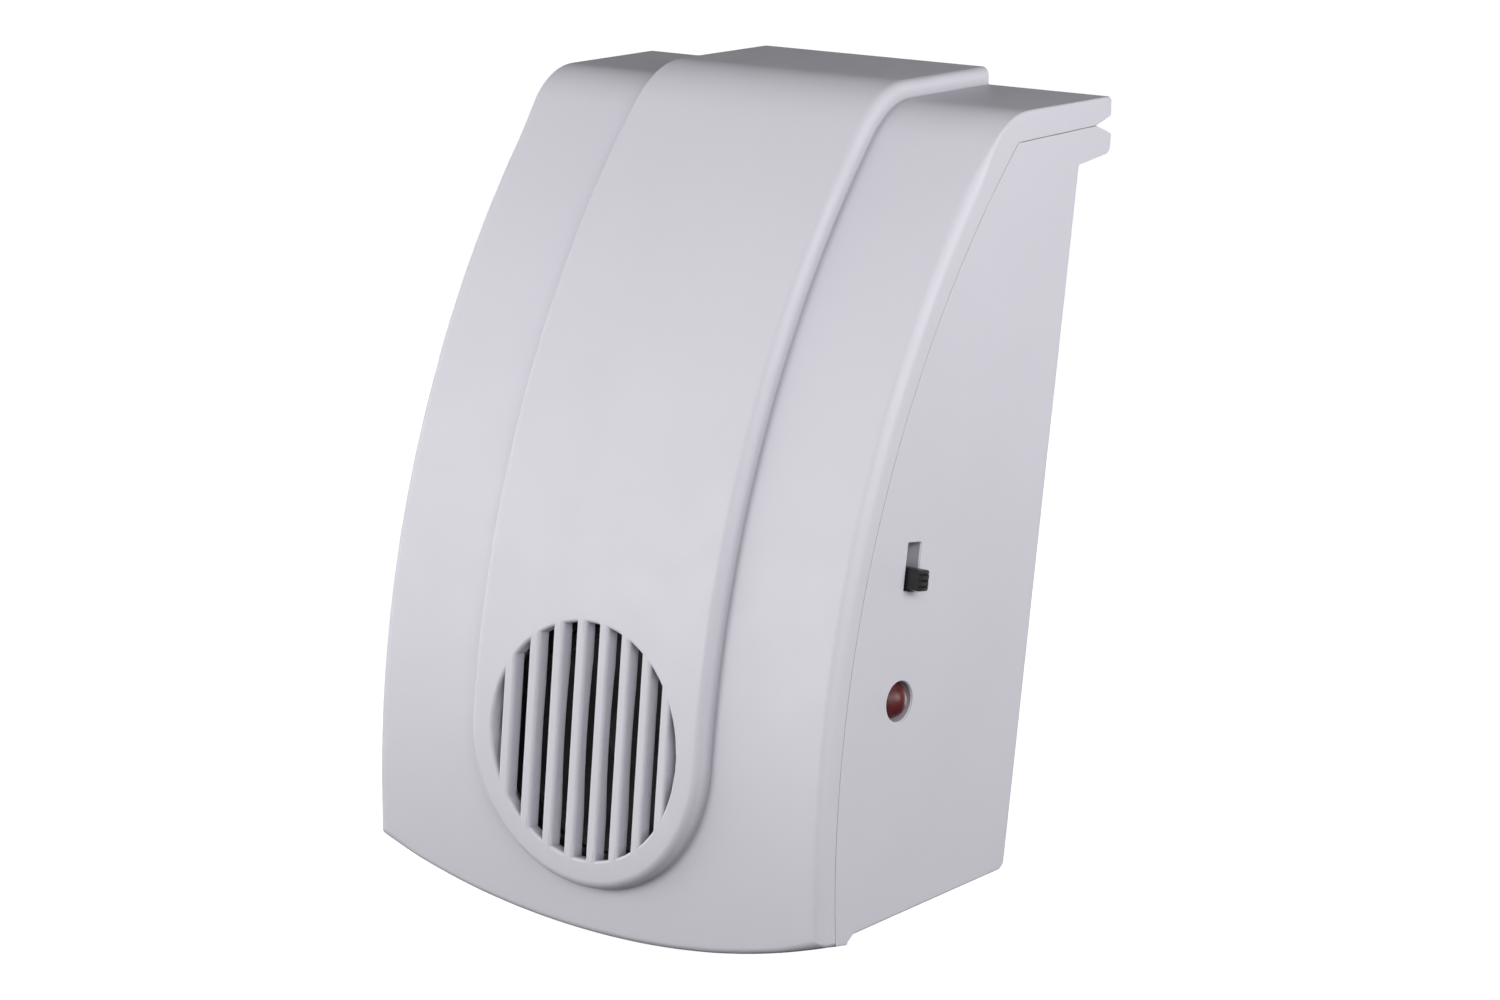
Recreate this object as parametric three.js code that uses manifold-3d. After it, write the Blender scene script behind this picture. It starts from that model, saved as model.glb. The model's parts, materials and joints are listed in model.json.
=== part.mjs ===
// Plug-in ultrasonic pest repeller, in millimetres, +Z up.
// The origin is on the outer face of the back wall, midway between the two plug blades.
// +Y points into the wall socket, and +X is to the right of a person who faces the unit.
import * as THREE from 'three';
import { mergeVertices } from 'three/addons/utils/BufferGeometryUtils.js';
import Module from 'manifold-3d';

const wasm = await Module();
wasm.setup();

// ---- driving dimensions ----

const GAP = 0.3;                  // clearance kept between neighbouring pieces
const WALL = 2;                   // wall of both casing shells
const BAND_WALL = WALL + GAP - 0.1;

// side view of the casing: the front is one large arc, the seam a slightly smaller one
const LIP_HALF_WIDTH = 38;        // half the casing's width at the rear of the top lip
const LIP_REAR_Y = 6.4;
const SIDE_TAPER = 0.025;         // each side closes in by this much per millimetre forward
const FRONT_ARC = { y: 95.4, z: -31.4, r: 134.85 };
const SEAM_ARC = { y: 91.84, z: -32.25, r: 128.45 };
const TOP_REAR = { y: 5.3, z: 47.9 };
const TOP_SLOPE = Math.tan(THREE.MathUtils.degToRad(9));
const TOP_BEND_RADIUS = 4.2;
const LEAST_BEND_RADIUS = 0.6;
const SEAM_NOTCH = { y: 2.7, z: 44.05 };     // root of the V groove between the two rear lips
const SEAM_SLOPE = 0.183;
const SEAM_GAP = 0.25;
const COVER_LIP = [[6.0, 45.35], [4.6, 44.75]];
const HOUSING_LIP = [[4.85, 43.59], [6.36, 43.16], [6.4, 41.1], [5.94, 40.6], [1.3, 39.25], [0, 38.9]];

// underside: an arch seen from the front, sloping up to the rear behind the seam flange
const BOTTOM_Z = -58.4;           // height of the casing's front bottom corners
const ARCH = { r: 123.3, drop: 5.95 };
const BOTTOM_SLOPE = Math.tan(THREE.MathUtils.degToRad(10.5));
const BOTTOM_FRONT_Y = -36.8;     // the sloping underside is level with BOTTOM_Z here
const FLANGE_REAR_Y = -31.6;
const REAR_CHAMFER = 0.7;

// reach of the blocks that trim or hollow the casing, all of them beyond its outline
const LOW_Z = -70;
const HIGH_Z = 90;
const FRONT_Y = -60;
const BEHIND_Y = 20;
const SIDE_X = 45;
const POCKET_REAR_Y = -2;

// raised band and grille on the cover
const BAND = { halfWidth: 19.1, proud: 2.2, endZ: -39.12, rearY: 5.2 };
const GRILLE = {
  z: -39.12, r: 15.11, pitch: 3.67, slot: 2.0, slots: 9,
  barDepth: 1.6, reliefR: 16.4, reach: 20, steps: 24,
};

// cover posts for the case screws, and the housing tunnels that meet them
const CASE_SCREWS = [[-31, 30], [31, 30], [-31, -44], [31, -44]];
const POST = { r: 3.5, rearY: -12.95, pilotR: 1.75, pilotDepth: 7.6 };
const TUNNEL = { r: 4.3, frontY: -12.65, counterboreR: 3.25, seatY: -9.65 };

// transducer: a ring wall around it and two posts for its ears
const RING_WALL = { outer: 18.4, inner: 17, rearY: -33.3 };
const EAR_POST = { x: 21.5, r: 2.75, rearY: -33.1, pilotR: 1.3, pilotY: -37.4 };
const EAR = { frontY: EAR_POST.rearY + GAP, rearY: EAR_POST.rearY + GAP + 1.6, r: 3.2, bridgeX: 16 };
const BASKET = [[16.6, -36.5], [16.6, EAR.rearY], [10.5, -28.6], [10.5, -27.4], [9, -27.4],
  [9, -29.8], [14.6, -32.4], [14.6, -36.5], [16.6, -36.5]];
const CONE = [[0, -32.2], [0, -32.6], [2.5, -32.3], [4.3, -31.6], [13.6, -36], [14.3, -36], [14.3, -35.4],
  [4.9, -31.3], [4.9, -30.7], [4.3, -30.7], [4, -31.3], [2.4, -31.9], [0, -32.2]];
const PIEZO_CERAMIC = { r: 6, y: [-30.4, -30.05] };
const PIEZO_PLATE = { r: 8.6, y: [-29.75, -29.35] };
const REAR_CAP = [[0, -29.05], [8.7, -29.05], [8.7, -27.1], [10.4, -27.1], [10.4, -26], [0, -26]];
const LUG = { x: 5, width: 2.4, y: [-25.7, -25.2], below: 2, above: 3 };

// circuit board, parallel to the back wall
const BOARD = { x: [-29.5, 33], z: [-38.5, 24.5], front: -23.4, thickness: 1.6, screwHoleR: 1.3 };
const BOARD_REAR = BOARD.front + BOARD.thickness;
const BOARD_SCREWS = [[-26, 21], [29.5, 21], [-26, -35], [29.5, -35]];
const BOARD_POST = { r: 3, frontY: BOARD_REAR + GAP, pilotR: 1.3, pilotDepth: 7 };
const LEAD_R = 0.35;
const LEAD_HOLE_R = 0.75;
const LEAD_OVERSHOOT = 1;         // leads stick out of the board's front by this much
const STAND = BOARD_REAR + GAP;   // underside of parts that stand on the board

// parts on the board: places in x and z, heights above STAND
const FILM_CAPACITOR = { x: [-21, -3], z: [-36.5, -28.5], height: 14, leads: [[-19.5, -32.5], [-4.5, -32.5]] };
const FILTER_CAPACITOR = { x: 5.5, z: -31, leads: [[3, -31], [8, -31]] };
const FILTER_PROFILE = [[0, 0], [4.6, 0], [5, 0.6], [5, 1.6], [4.7, 2.1], [5, 2.6],
  [5, 15.6], [4.6, 16], [0, 16]];
const DISC_CAPACITOR = {
  xs: [17, 23], z: -17, r: 3, thickness: 2.2, height: 4, footX: 1.6, footZ: 5, leadZ: 2,
};
const DIODE = { places: [[-21, -23], [-21, -18], [-7.5, -23], [-7.5, -18]], r: 1.35, length: 5.2, reach: 4.5 };
const ZENER = { x: -7.5, z: -12.5, r: 0.95, length: 3.8, reach: 4 };
const RESISTOR = {
  places: [[-20, -6], [-20, -1], [-20, 4], [21, -6], [21, -1]], r: 1.15, length: 6.3, reach: 5,
};
const FUSE = { x: -20, z: 11, r: 1.9, length: 8, reach: 6 };
const CHIP = {
  x: 9, z: -14, length: 9.4, width: 6.35, height: 3.3, stand: 0.5, notchR: 0.8, notchDepth: 0.8,
  pitch: 2.54, row: 7.62, legWidth: 0.8, legHeight: 1.9, legThickness: 0.5, legRoot: 2, legsPerSide: 4,
};
const TRANSISTOR = { x: 20, z: 4, r: 2.4, y: [1.5, 6], flat: 1.3, neck: 1, neckY: [0.4, 2] };
const COIL = {
  x: 18.2, z: -29.5, stand: 0.4, width: 12.6, height: 11, depth: 5, leg: 2.4, yoke: 2.2, post: 3.4,
  foot: [5, 2], windingX: [4, 7], windingZ: [5.6, 9], windingY: [2.5, 8.5],
};

// slide switch and indicator light in the right-hand wall
const WALL_HOLE_X = [30, 45];     // reach of the two openings through the side wall
const SWITCH = {
  y: -26.4, z: -11.6, slotWidth: 2.6, slotLength: 6, travel: 2.9,
  shellX: [29.6, 34], shellY: 4.8, shellZ: 9.6, chamberX: [30.4, 35], chamberY: 3.4, chamberZ: 7.8,
  plateX: [34.3, 34.9], windowY: 2.6, windowZ: 6.1, pinX: 31.6, pinPitch: 2.5, pinFrontY: 2.7,
};
const KNOB = { x: [32, 39.2], width: 2.0, height: 2.6, footX: 33.6, footY: 2.8, footZ: 4.3 };
const CONTACT = { x: [31.1, 31.7], y: 2.2, z: 3.6 };
const LED = {
  y: -26.2, z: -28.4, holeR: 2.55, r: 2.2, tipX: 37.7, barrelX: 31, collarX: [30.2, 31.2], collar: 0.35,
  leadPitch: 1.27, leadX: 29.9, bendX: 27,
};
const PIN_END = BOARD_REAR + 0.9;

// plug: flat two-blade mains plug without earth, its blades held down by a screwed clamp
const BLADE = { x: 6.35, width: 6.35, thickness: 1.5, length: 17, nose: 1.6, holeY: 12, holeR: 1.6 };
const BLADE_SHOULDER = { front: -4.1, rear: -2.3, halfZ: 5.2 };
const BLADE_TAIL = { end: -9.5, halfZ: 1.6 };
const CLAMP = { front: -6.6, rear: -4.4, halfX: 16, halfZ: 5.5, screwHoleR: 1.3 };
const CLAMP_POST = { x: 13, r: 2.5, frontY: -4.1, pilotR: 1.3, pilotY: -1.2 };

// screws: a plain shank and a round head with a cross recess
const CASE_SCREW = { shankR: 1.45, length: 10.5, headR: 2.75, headHeight: 2 };
const BOARD_SCREW = { shankR: 1.0, length: 8, headR: 2.1, headHeight: 1.5 };
const EAR_SCREW = { shankR: 1.0, length: EAR.rearY - EAR_POST.pilotY, headR: 2.0, headHeight: 1.4 };
const CLAMP_SCREW = { shankR: 1.0, length: CLAMP_POST.pilotY - CLAMP.front, headR: 2.0, headHeight: 1.4 };
const CROSS_RECESS = { reach: 1.3, width: 0.7 };    // reach as a share of the head's radius

const MAINS_WIRE_R = 0.8;
const SIGNAL_WIRE_R = 0.5;

// ---- materials ----

const plastic = (color, roughness = 0.5) =>
  new THREE.MeshStandardMaterial({ color, roughness, flatShading: true });
const metal = (color, roughness = 0.3) =>
  new THREE.MeshStandardMaterial({ color, roughness, metalness: 1, flatShading: true });

const MATERIALS = {
  casing: plastic(0xd9d8de, 0.45),
  black: plastic(0x17181a, 0.55),
  paper: plastic(0x1d1c1c, 0.9),
  board: plastic(0x2f6b3a, 0.4),
  capFilm: plastic(0xb8862b, 0.35),
  capSleeve: plastic(0x20253a, 0.4),
  carbon: plastic(0xcbb389, 0.5),
  ceramic: plastic(0xd8d2c2, 0.6),
  ceramicCap: plastic(0xc8772f, 0.55),
  ferrite: plastic(0x2b2c2f, 0.7),
  glass: plastic(0xb9a58a, 0.2),
  redLens: plastic(0x8a1518, 0.2),
  wireBlack: plastic(0x1b1b1b, 0.5),
  wireRed: plastic(0xa3201c, 0.5),
  copper: metal(0xb4643c),
  brass: metal(0xc3a257),
  steel: metal(0xb4b6ba),
};

// ---- geometry helpers ----

// closed three.js geometry -> manifold solid
function solid(geometry) {
  const bare = geometry.clone();
  for (const name of ['normal', 'uv']) bare.deleteAttribute(name);
  const merged = mergeVertices(bare, 1e-4);
  const position = merged.getAttribute('position').array;
  const index = merged.index.array;
  const faces = [];
  let volume = 0;
  const [a, b, c] = [new THREE.Vector3(), new THREE.Vector3(), new THREE.Vector3()];
  for (let i = 0; i < index.length; i += 3) {
    const [p, q, r] = index.slice(i, i + 3);
    if (p === q || q === r || r === p) continue;
    faces.push([p, q, r]);
    a.fromArray(position, 3 * p);
    b.fromArray(position, 3 * q);
    c.fromArray(position, 3 * r);
    volume += a.dot(b.cross(c));
  }
  if (volume < 0) for (const face of faces) face.reverse();
  return new wasm.Manifold(new wasm.Mesh({
    numProp: 3,
    vertProperties: new Float32Array(position),
    triVerts: new Uint32Array(faces.flat()),
  }));
}

const group = new THREE.Group();

function addPiece(name, shape, material) {
  const mesh = shape.getMesh();
  const geometry = new THREE.BufferGeometry();
  geometry.setAttribute('position', new THREE.BufferAttribute(mesh.vertProperties, 3));
  geometry.setIndex(new THREE.BufferAttribute(mesh.triVerts, 1));
  const piece = new THREE.Mesh(geometry, material);
  piece.name = name;
  group.add(piece);
  return piece;
}

const join = (shapes) => shapes.reduce((sum, shape) => sum.add(shape));
const cut = (shape, tools) => tools.reduce((rest, tool) => rest.subtract(tool), shape);

function box(x, y, z) {
  const geometry = new THREE.BoxGeometry(x[1] - x[0], y[1] - y[0], z[1] - z[0]);
  geometry.translate((x[0] + x[1]) / 2, (y[0] + y[1]) / 2, (z[0] + z[1]) / 2);
  return solid(geometry);
}

const centred = (middle, size) => [middle - size / 2, middle + size / 2];

// straight round bar between two points
function rod(from, to, radius, sides = 16) {
  const start = new THREE.Vector3(...from);
  const end = new THREE.Vector3(...to);
  const geometry = new THREE.CylinderGeometry(radius, radius, start.distanceTo(end), sides);
  const direction = end.clone().sub(start).normalize();
  geometry.applyQuaternion(new THREE.Quaternion().setFromUnitVectors(new THREE.Vector3(0, 1, 0), direction));
  geometry.translate(...start.add(end).multiplyScalar(0.5).toArray());
  return solid(geometry);
}

// ring or disc about an axis parallel to Y through (x, z); the profile lists [radius, y]
function turned(profile, x, z, sides = 40) {
  const geometry = new THREE.LatheGeometry(profile.map(([r, y]) => new THREE.Vector2(r, y)), sides);
  geometry.translate(x, 0, z);
  return solid(geometry);
}

const tubeRing = (outer, inner, y0, y1, x, z, sides) =>
  turned([[inner, y0], [outer, y0], [outer, y1], [inner, y1], [inner, y0]], x, z, sides);

// round wire along a smooth curve through the points
function wire(points, radius) {
  const path = new THREE.CatmullRomCurve3(points.map((point) => new THREE.Vector3(...point)));
  const section = new THREE.Shape();
  section.absarc(0, 0, radius, 0, 2 * Math.PI);
  const sweep = { steps: 3 * (points.length - 1), curveSegments: 4, extrudePath: path, bevelEnabled: false };
  return solid(new THREE.ExtrudeGeometry(section, sweep));
}

// side outline given as [y, z] points, swept across the full width and tapered towards the front
function sidePrism(outline, inset = 0) {
  const shape = new THREE.Shape(outline.map(([y, z]) => new THREE.Vector2(y, z)));
  const geometry = new THREE.ExtrudeGeometry(shape, { depth: 2, bevelEnabled: false });
  geometry.translate(0, 0, -1);
  geometry.applyMatrix4(new THREE.Matrix4().makeBasis(
    new THREE.Vector3(0, 1, 0), new THREE.Vector3(0, 0, 1), new THREE.Vector3(1, 0, 0)));
  const position = geometry.getAttribute('position');
  for (let i = 0; i < position.count; i += 1) {
    position.setX(i, position.getX(i) * (halfWidth(position.getY(i)) - inset));
  }
  return solid(geometry);
}

// front outline given as a THREE.Shape in x and z, swept along Y and sheared so that it rises to the rear
function frontPrism(shape, y0, y1, slope = 0, levelY = 0) {
  const geometry = new THREE.ExtrudeGeometry(shape, { depth: y1 - y0, bevelEnabled: false, curveSegments: 10 });
  geometry.applyMatrix4(new THREE.Matrix4().makeBasis(
    new THREE.Vector3(1, 0, 0), new THREE.Vector3(0, 0, 1), new THREE.Vector3(0, -1, 0)));
  geometry.translate(0, y1, 0);
  const position = geometry.getAttribute('position');
  for (let i = 0; i < position.count; i += 1) {
    position.setZ(i, position.getZ(i) + slope * (position.getY(i) - levelY));
  }
  return solid(geometry);
}

// ---- the casing's lines ----

const halfWidth = (y) => LIP_HALF_WIDTH - SIDE_TAPER * (LIP_REAR_Y - y);
const topZ = (y, inward = 0) => TOP_REAR.z + TOP_SLOPE * (y - TOP_REAR.y) - inward;

function arcY(arc, z, inward = 0) {
  return arc.y - Math.sqrt((arc.r - inward) ** 2 - (z - arc.z) ** 2);
}

// points up an arc from one height to another
function arcPoints(arc, fromZ, toZ, inward, count) {
  const radius = arc.r - inward;
  const start = Math.asin((fromZ - arc.z) / radius);
  const end = Math.asin((toZ - arc.z) / radius);
  return Array.from({ length: count + 1 }, (_, i) => {
    const angle = start + (end - start) * i / count;
    return [arc.y - radius * Math.cos(angle), arc.z + radius * Math.sin(angle)];
  });
}

// height where a line z = lineZ(y) meets an arc, found by repeated substitution
function meetZ(arc, inward, lineZ) {
  let z = 40;
  for (let i = 0; i < 60; i += 1) z = lineZ(arcY(arc, z, inward));
  return z;
}

// front arc, rounded bend and top line of the cover, moved inwards by a distance
function coverSkin(inward, rearY) {
  const top = (y) => topZ(y, inward);
  const bendRadius = Math.max(TOP_BEND_RADIUS - inward, LEAST_BEND_RADIUS);
  const cornerZ = meetZ(FRONT_ARC, inward, top);
  const cornerY = arcY(FRONT_ARC, cornerZ, inward);
  const before = [arcY(FRONT_ARC, cornerZ - bendRadius, inward), cornerZ - bendRadius];
  const after = [cornerY + bendRadius, top(cornerY + bendRadius)];
  const bend = new THREE.QuadraticBezierCurve(
    new THREE.Vector2(...before), new THREE.Vector2(cornerY, cornerZ), new THREE.Vector2(...after));
  const points = arcPoints(FRONT_ARC, LOW_Z, before[1], inward, 18);
  points.push(...bend.getPoints(4).slice(1).map((point) => point.toArray()));
  points.push([rearY, top(rearY)]);
  return points;
}

// seam line from the rear groove forward and down, moved back by a distance
function seamLine(back) {
  const line = (y) => SEAM_NOTCH.z - back + SEAM_SLOPE * (y - SEAM_NOTCH.y);
  const cornerZ = meetZ(SEAM_ARC, back, line);
  const down = arcPoints(SEAM_ARC, LOW_Z, cornerZ, back, 18).reverse();
  return [[SEAM_NOTCH.y, SEAM_NOTCH.z - back], ...down];
}

// everything above the arched underside, raised by a distance
function archBlock(raise, y0, y1, slope, levelY) {
  const centreZ = BOTTOM_Z - ARCH.drop + ARCH.r;
  const angle = Math.asin(SIDE_X / ARCH.r);
  const shape = new THREE.Shape();
  shape.absarc(0, centreZ + raise, ARCH.r, -Math.PI / 2 - angle, -Math.PI / 2 + angle, false);
  shape.lineTo(SIDE_X, HIGH_Z);
  shape.lineTo(-SIDE_X, HIGH_Z);
  return frontPrism(shape, y0, y1, slope, levelY);
}

const levelUnderside = (raise) => archBlock(raise, FRONT_Y, BEHIND_Y, 0, 0);
const slopingUnderside = (raise) => archBlock(raise, FRONT_Y, BEHIND_Y, BOTTOM_SLOPE, BOTTOM_FRONT_Y);

// ---- casing ----

// a piece on each side of the middle plane
const bothSides = (make) => [-1, 1].map(make);

// round bars along Y, one through each (x, z) place
const bars = (places, y0, y1, radius, sides) =>
  places.map(([x, z]) => rod([x, y0, z], [x, y1, z], radius, sides));

const EAR_PLACES = bothSides((side) => [side * EAR_POST.x, GRILLE.z]);
const CLAMP_PLACES = bothSides((side) => [side * CLAMP_POST.x, 0]);

// the room behind the cover's skin, moved inwards by a distance
const behindSkin = (inward, inset = 0) =>
  sidePrism([...coverSkin(inward, POCKET_REAR_Y), [POCKET_REAR_Y, 0], [0, LOW_Z]], inset);

function bandBlock(inward, y0, y1) {
  const half = BAND.halfWidth - inward;
  const shape = new THREE.Shape();
  shape.moveTo(half, HIGH_Z);
  shape.lineTo(-half, HIGH_Z);
  shape.lineTo(-half, BAND.endZ);
  shape.absarc(0, BAND.endZ, half, Math.PI, 2 * Math.PI, false);
  shape.closePath();
  return frontPrism(shape, y0, y1);
}

function grilleCutter() {
  const [circle] = bars([[0, GRILLE.z]], FRONT_Y, -30, GRILLE.r, 40);
  const middle = (GRILLE.slots - 1) / 2;
  const slots = Array.from({ length: GRILLE.slots }, (_, i) => {
    const x = centred((i - middle) * GRILLE.pitch, GRILLE.slot);
    return box(x, [-50, -36], centred(GRILLE.z, 2 * GRILLE.reach));
  });
  return join(slots).intersect(circle);
}

// the space between the plane y = endY and the bars' face, which runs straight between the two points
// where a circle meets the band's arc; it is moved back by a distance
function barBlock(r, back, endY) {
  const lines = Array.from({ length: GRILLE.steps + 1 }, (_, i) => {
    const turn = (i / GRILLE.steps) * Math.PI;
    return [-1, 1].flatMap((end) => {
      const z = GRILLE.z + end * r * Math.sin(turn);
      const y = arcY(FRONT_ARC, z, -BAND.proud) + back;
      return [[-r * Math.cos(turn), y, z], [-r * Math.cos(turn), endY, z]];
    });
  });
  return join(lines.slice(1).map((line, i) => wasm.Manifold.hull([...lines[i], ...line])));
}

function makeFrontCover() {
  const slab = sidePrism([...coverSkin(0, TOP_REAR.y), ...COVER_LIP, ...seamLine(0)]);
  const band = sidePrism([...coverSkin(-BAND.proud, BAND.rearY), ...seamLine(0)])
    .intersect(bandBlock(0, FRONT_Y, BAND.rearY));
  const skin = slab.add(band).intersect(levelUnderside(0));
  const pocket = behindSkin(BAND_WALL, WALL).intersect(levelUnderside(WALL));
  const bandPocket = behindSkin(BAND_WALL - BAND.proud).intersect(bandBlock(BAND_WALL, FRONT_Y, POCKET_REAR_Y));
  const inside = behindSkin(WALL / 2, WALL / 2).intersect(levelUnderside(WALL / 2));
  const posts = bars(CASE_SCREWS, -45, POST.rearY, POST.r, 16);
  const earPosts = bars(EAR_PLACES, -45, EAR_POST.rearY, EAR_POST.r, 16);
  const ringWall = tubeRing(RING_WALL.outer, RING_WALL.inner, -45, RING_WALL.rearY, 0, GRILLE.z, 36);
  const inner = join([...posts, ...earPosts, ringWall]).intersect(inside);
  const pilots = bars(CASE_SCREWS, POST.rearY - POST.pilotDepth, 0, POST.pilotR, 12);
  const earPilots = bars(EAR_PLACES, EAR_POST.pilotY, 0, EAR_POST.pilotR, 12);
  const shell = cut(skin, [pocket, bandPocket]).add(inner);
  const barFront = barBlock(GRILLE.r, 0, FRONT_Y);
  const barRear = barBlock(GRILLE.reliefR, GRILLE.barDepth, RING_WALL.rearY - 1);
  const holes = [...pilots, ...earPilots, barFront, barRear, grilleCutter()];
  addPiece('front_cover', cut(shell, holes), MATERIALS.casing);
}

function housingUnderside() {
  const rearBottomZ = BOTTOM_Z + BOTTOM_SLOPE * (-REAR_CHAMFER - BOTTOM_FRONT_Y);
  const flange = levelUnderside(0).intersect(box([-SIDE_X, SIDE_X], [FRONT_Y, FLANGE_REAR_Y], [-80, HIGH_Z]));
  const chamfer = archBlock(rearBottomZ - BOTTOM_Z, -90, BEHIND_Y, 1, -REAR_CHAMFER);
  return slopingUnderside(0).add(flange).intersect(chamfer);
}

function makeRearHousing() {
  const seam = [[SEAM_NOTCH.y, SEAM_NOTCH.z - SEAM_GAP], ...seamLine(SEAM_GAP).slice(1)];
  const lip = HOUSING_LIP.slice().reverse();
  const outer = sidePrism([...seam, [0, LOW_Z], ...lip]).intersect(housingUnderside());
  const cavity = sidePrism([[FRONT_Y, LOW_Z], [-WALL, LOW_Z], [-WALL, 60], [FRONT_Y, 60]], WALL)
    .intersect(slopingUnderside(WALL));
  const tunnels = bars(CASE_SCREWS, TUNNEL.frontY, -WALL / 2, TUNNEL.r, 18);
  const boardPosts = bars(BOARD_SCREWS, BOARD_POST.frontY, -WALL / 2, BOARD_POST.r, 16);
  const clampPosts = bars(CLAMP_PLACES, CLAMP_POST.frontY, -WALL / 2, CLAMP_POST.r, 16);
  const shell = join([outer.subtract(cavity), ...tunnels, ...boardPosts, ...clampPosts]);
  const counterbores = bars(CASE_SCREWS, TUNNEL.seatY, 1, TUNNEL.counterboreR, 20);
  const screwHoles = bars(CASE_SCREWS, -20, 1, POST.pilotR, 12);
  const boardPilots = bars(BOARD_SCREWS, BOARD_POST.frontY - 1, BOARD_POST.frontY + BOARD_POST.pilotDepth,
    BOARD_POST.pilotR, 12);
  const clampPilots = bars(CLAMP_PLACES, CLAMP_POST.frontY - 1, CLAMP_POST.pilotY, CLAMP_POST.pilotR, 12);
  const bladeSlots = bothSides((side) =>
    box(centred(side * BLADE.x, BLADE.thickness + 2 * GAP), [-5, 1], centred(0, BLADE.width + 2 * GAP)));
  const switchSlot = box(WALL_HOLE_X, centred(SWITCH.y, SWITCH.slotWidth),
    centred(SWITCH.z, SWITCH.slotLength));
  const ledHole = rod([WALL_HOLE_X[0], LED.y, LED.z], [WALL_HOLE_X[1], LED.y, LED.z], LED.holeR, 28);
  const holes = [...counterbores, ...screwHoles, ...boardPilots, ...clampPilots, ...bladeSlots,
    switchSlot, ledHole];
  addPiece('rear_housing', cut(shell, holes), MATERIALS.casing);
}

// ---- screws ----

// cross-head screw along Y: forward is -1 for a shank that points away from the back wall
function addScrew(name, x, z, seatY, forward, size) {
  const headEnd = seatY - forward * size.headHeight;
  const shank = rod([x, seatY, z], [x, seatY + forward * size.length, z], size.shankR, 8);
  const head = rod([x, seatY, z], [x, headEnd, z], size.headR, 14);
  const long = size.headR * CROSS_RECESS.reach;
  const recess = [[long, CROSS_RECESS.width], [CROSS_RECESS.width, long]].map(([wide, high]) =>
    box(centred(x, wide), centred(headEnd, size.headHeight), centred(z, high)));
  addPiece(name, cut(shank.add(head), recess), MATERIALS.steel);
}

function makeScrews() {
  CASE_SCREWS.forEach(([x, z], i) =>
    addScrew(`case_screw_${i + 1}`, x, z, TUNNEL.seatY + GAP, -1, CASE_SCREW));
  BOARD_SCREWS.forEach(([x, z], i) =>
    addScrew(`board_screw_${i + 1}`, x, z, BOARD.front - GAP, 1, BOARD_SCREW));
}

// ---- transducer behind the grille ----

function makeTransducer() {
  const earY = [EAR.frontY, EAR.rearY];
  const ears = EAR_PLACES.map(([x, z]) => {
    const [pad] = bars([[x, z]], ...earY, EAR.r, 16);
    const inner = Math.sign(x) * EAR.bridgeX;
    const bridge = box([Math.min(x, inner), Math.max(x, inner)], earY, centred(z, 2 * EAR.r));
    return cut(pad.add(bridge), bars([[x, z]], -40, -20, EAR_POST.pilotR, 12));
  });
  addPiece('transducer_frame', join([turned(BASKET, 0, GRILLE.z, 36), ...ears]), MATERIALS.black);
  addPiece('transducer_cone', turned(CONE, 0, GRILLE.z, 30), MATERIALS.paper);
  const [ceramic] = bars([[0, GRILLE.z]], ...PIEZO_CERAMIC.y, PIEZO_CERAMIC.r, 24);
  addPiece('piezo_ceramic', ceramic, MATERIALS.ceramic);
  const [plate] = bars([[0, GRILLE.z]], ...PIEZO_PLATE.y, PIEZO_PLATE.r, 28);
  addPiece('piezo_plate', plate, MATERIALS.brass);
  addPiece('transducer_cap', turned(REAR_CAP, 0, GRILLE.z, 28), MATERIALS.black);
  [['left', -1], ['right', 1]].forEach(([label, side]) => {
    const lug = box(centred(side * LUG.x, LUG.width), LUG.y, [GRILLE.z - LUG.below, GRILLE.z + LUG.above]);
    addPiece(`transducer_lug_${label}`, lug, MATERIALS.brass);
    addScrew(`transducer_screw_${label}`, side * EAR_POST.x, GRILLE.z, EAR.rearY + GAP, -1, EAR_SCREW);
  });
}

// ---- circuit board and what is soldered to it ----

const boardHoles = [];

// straight lead through the board, with its hole
function lead(x, z, fromY) {
  boardHoles.push([x, z]);
  return rod([x, fromY, z], [x, BOARD.front - LEAD_OVERSHOOT, z], LEAD_R, 6);
}

// part that lies on the board along X with one bent lead at each end
function addAxialPart(name, x, z, body, material) {
  const y = STAND + body.r;
  const straight = rod([x - body.reach, y, z], [x + body.reach, y, z], LEAD_R, 6);
  const core = rod([x - body.length / 2, y, z], [x + body.length / 2, y, z], body.r, 12);
  const ends = bothSides((side) => lead(x + side * body.reach, z, y + LEAD_R));
  addPiece(name, join([core, straight, ...ends]), material);
}

// box or can that stands on the board on straight leads
function addStandingPart(name, body, leads, material) {
  addPiece(name, join([body, ...leads.map(([x, z]) => lead(x, z, BOARD_REAR + 1))]), material);
}

const aboveStand = ([low, high]) => [STAND + low, STAND + high];

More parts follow.
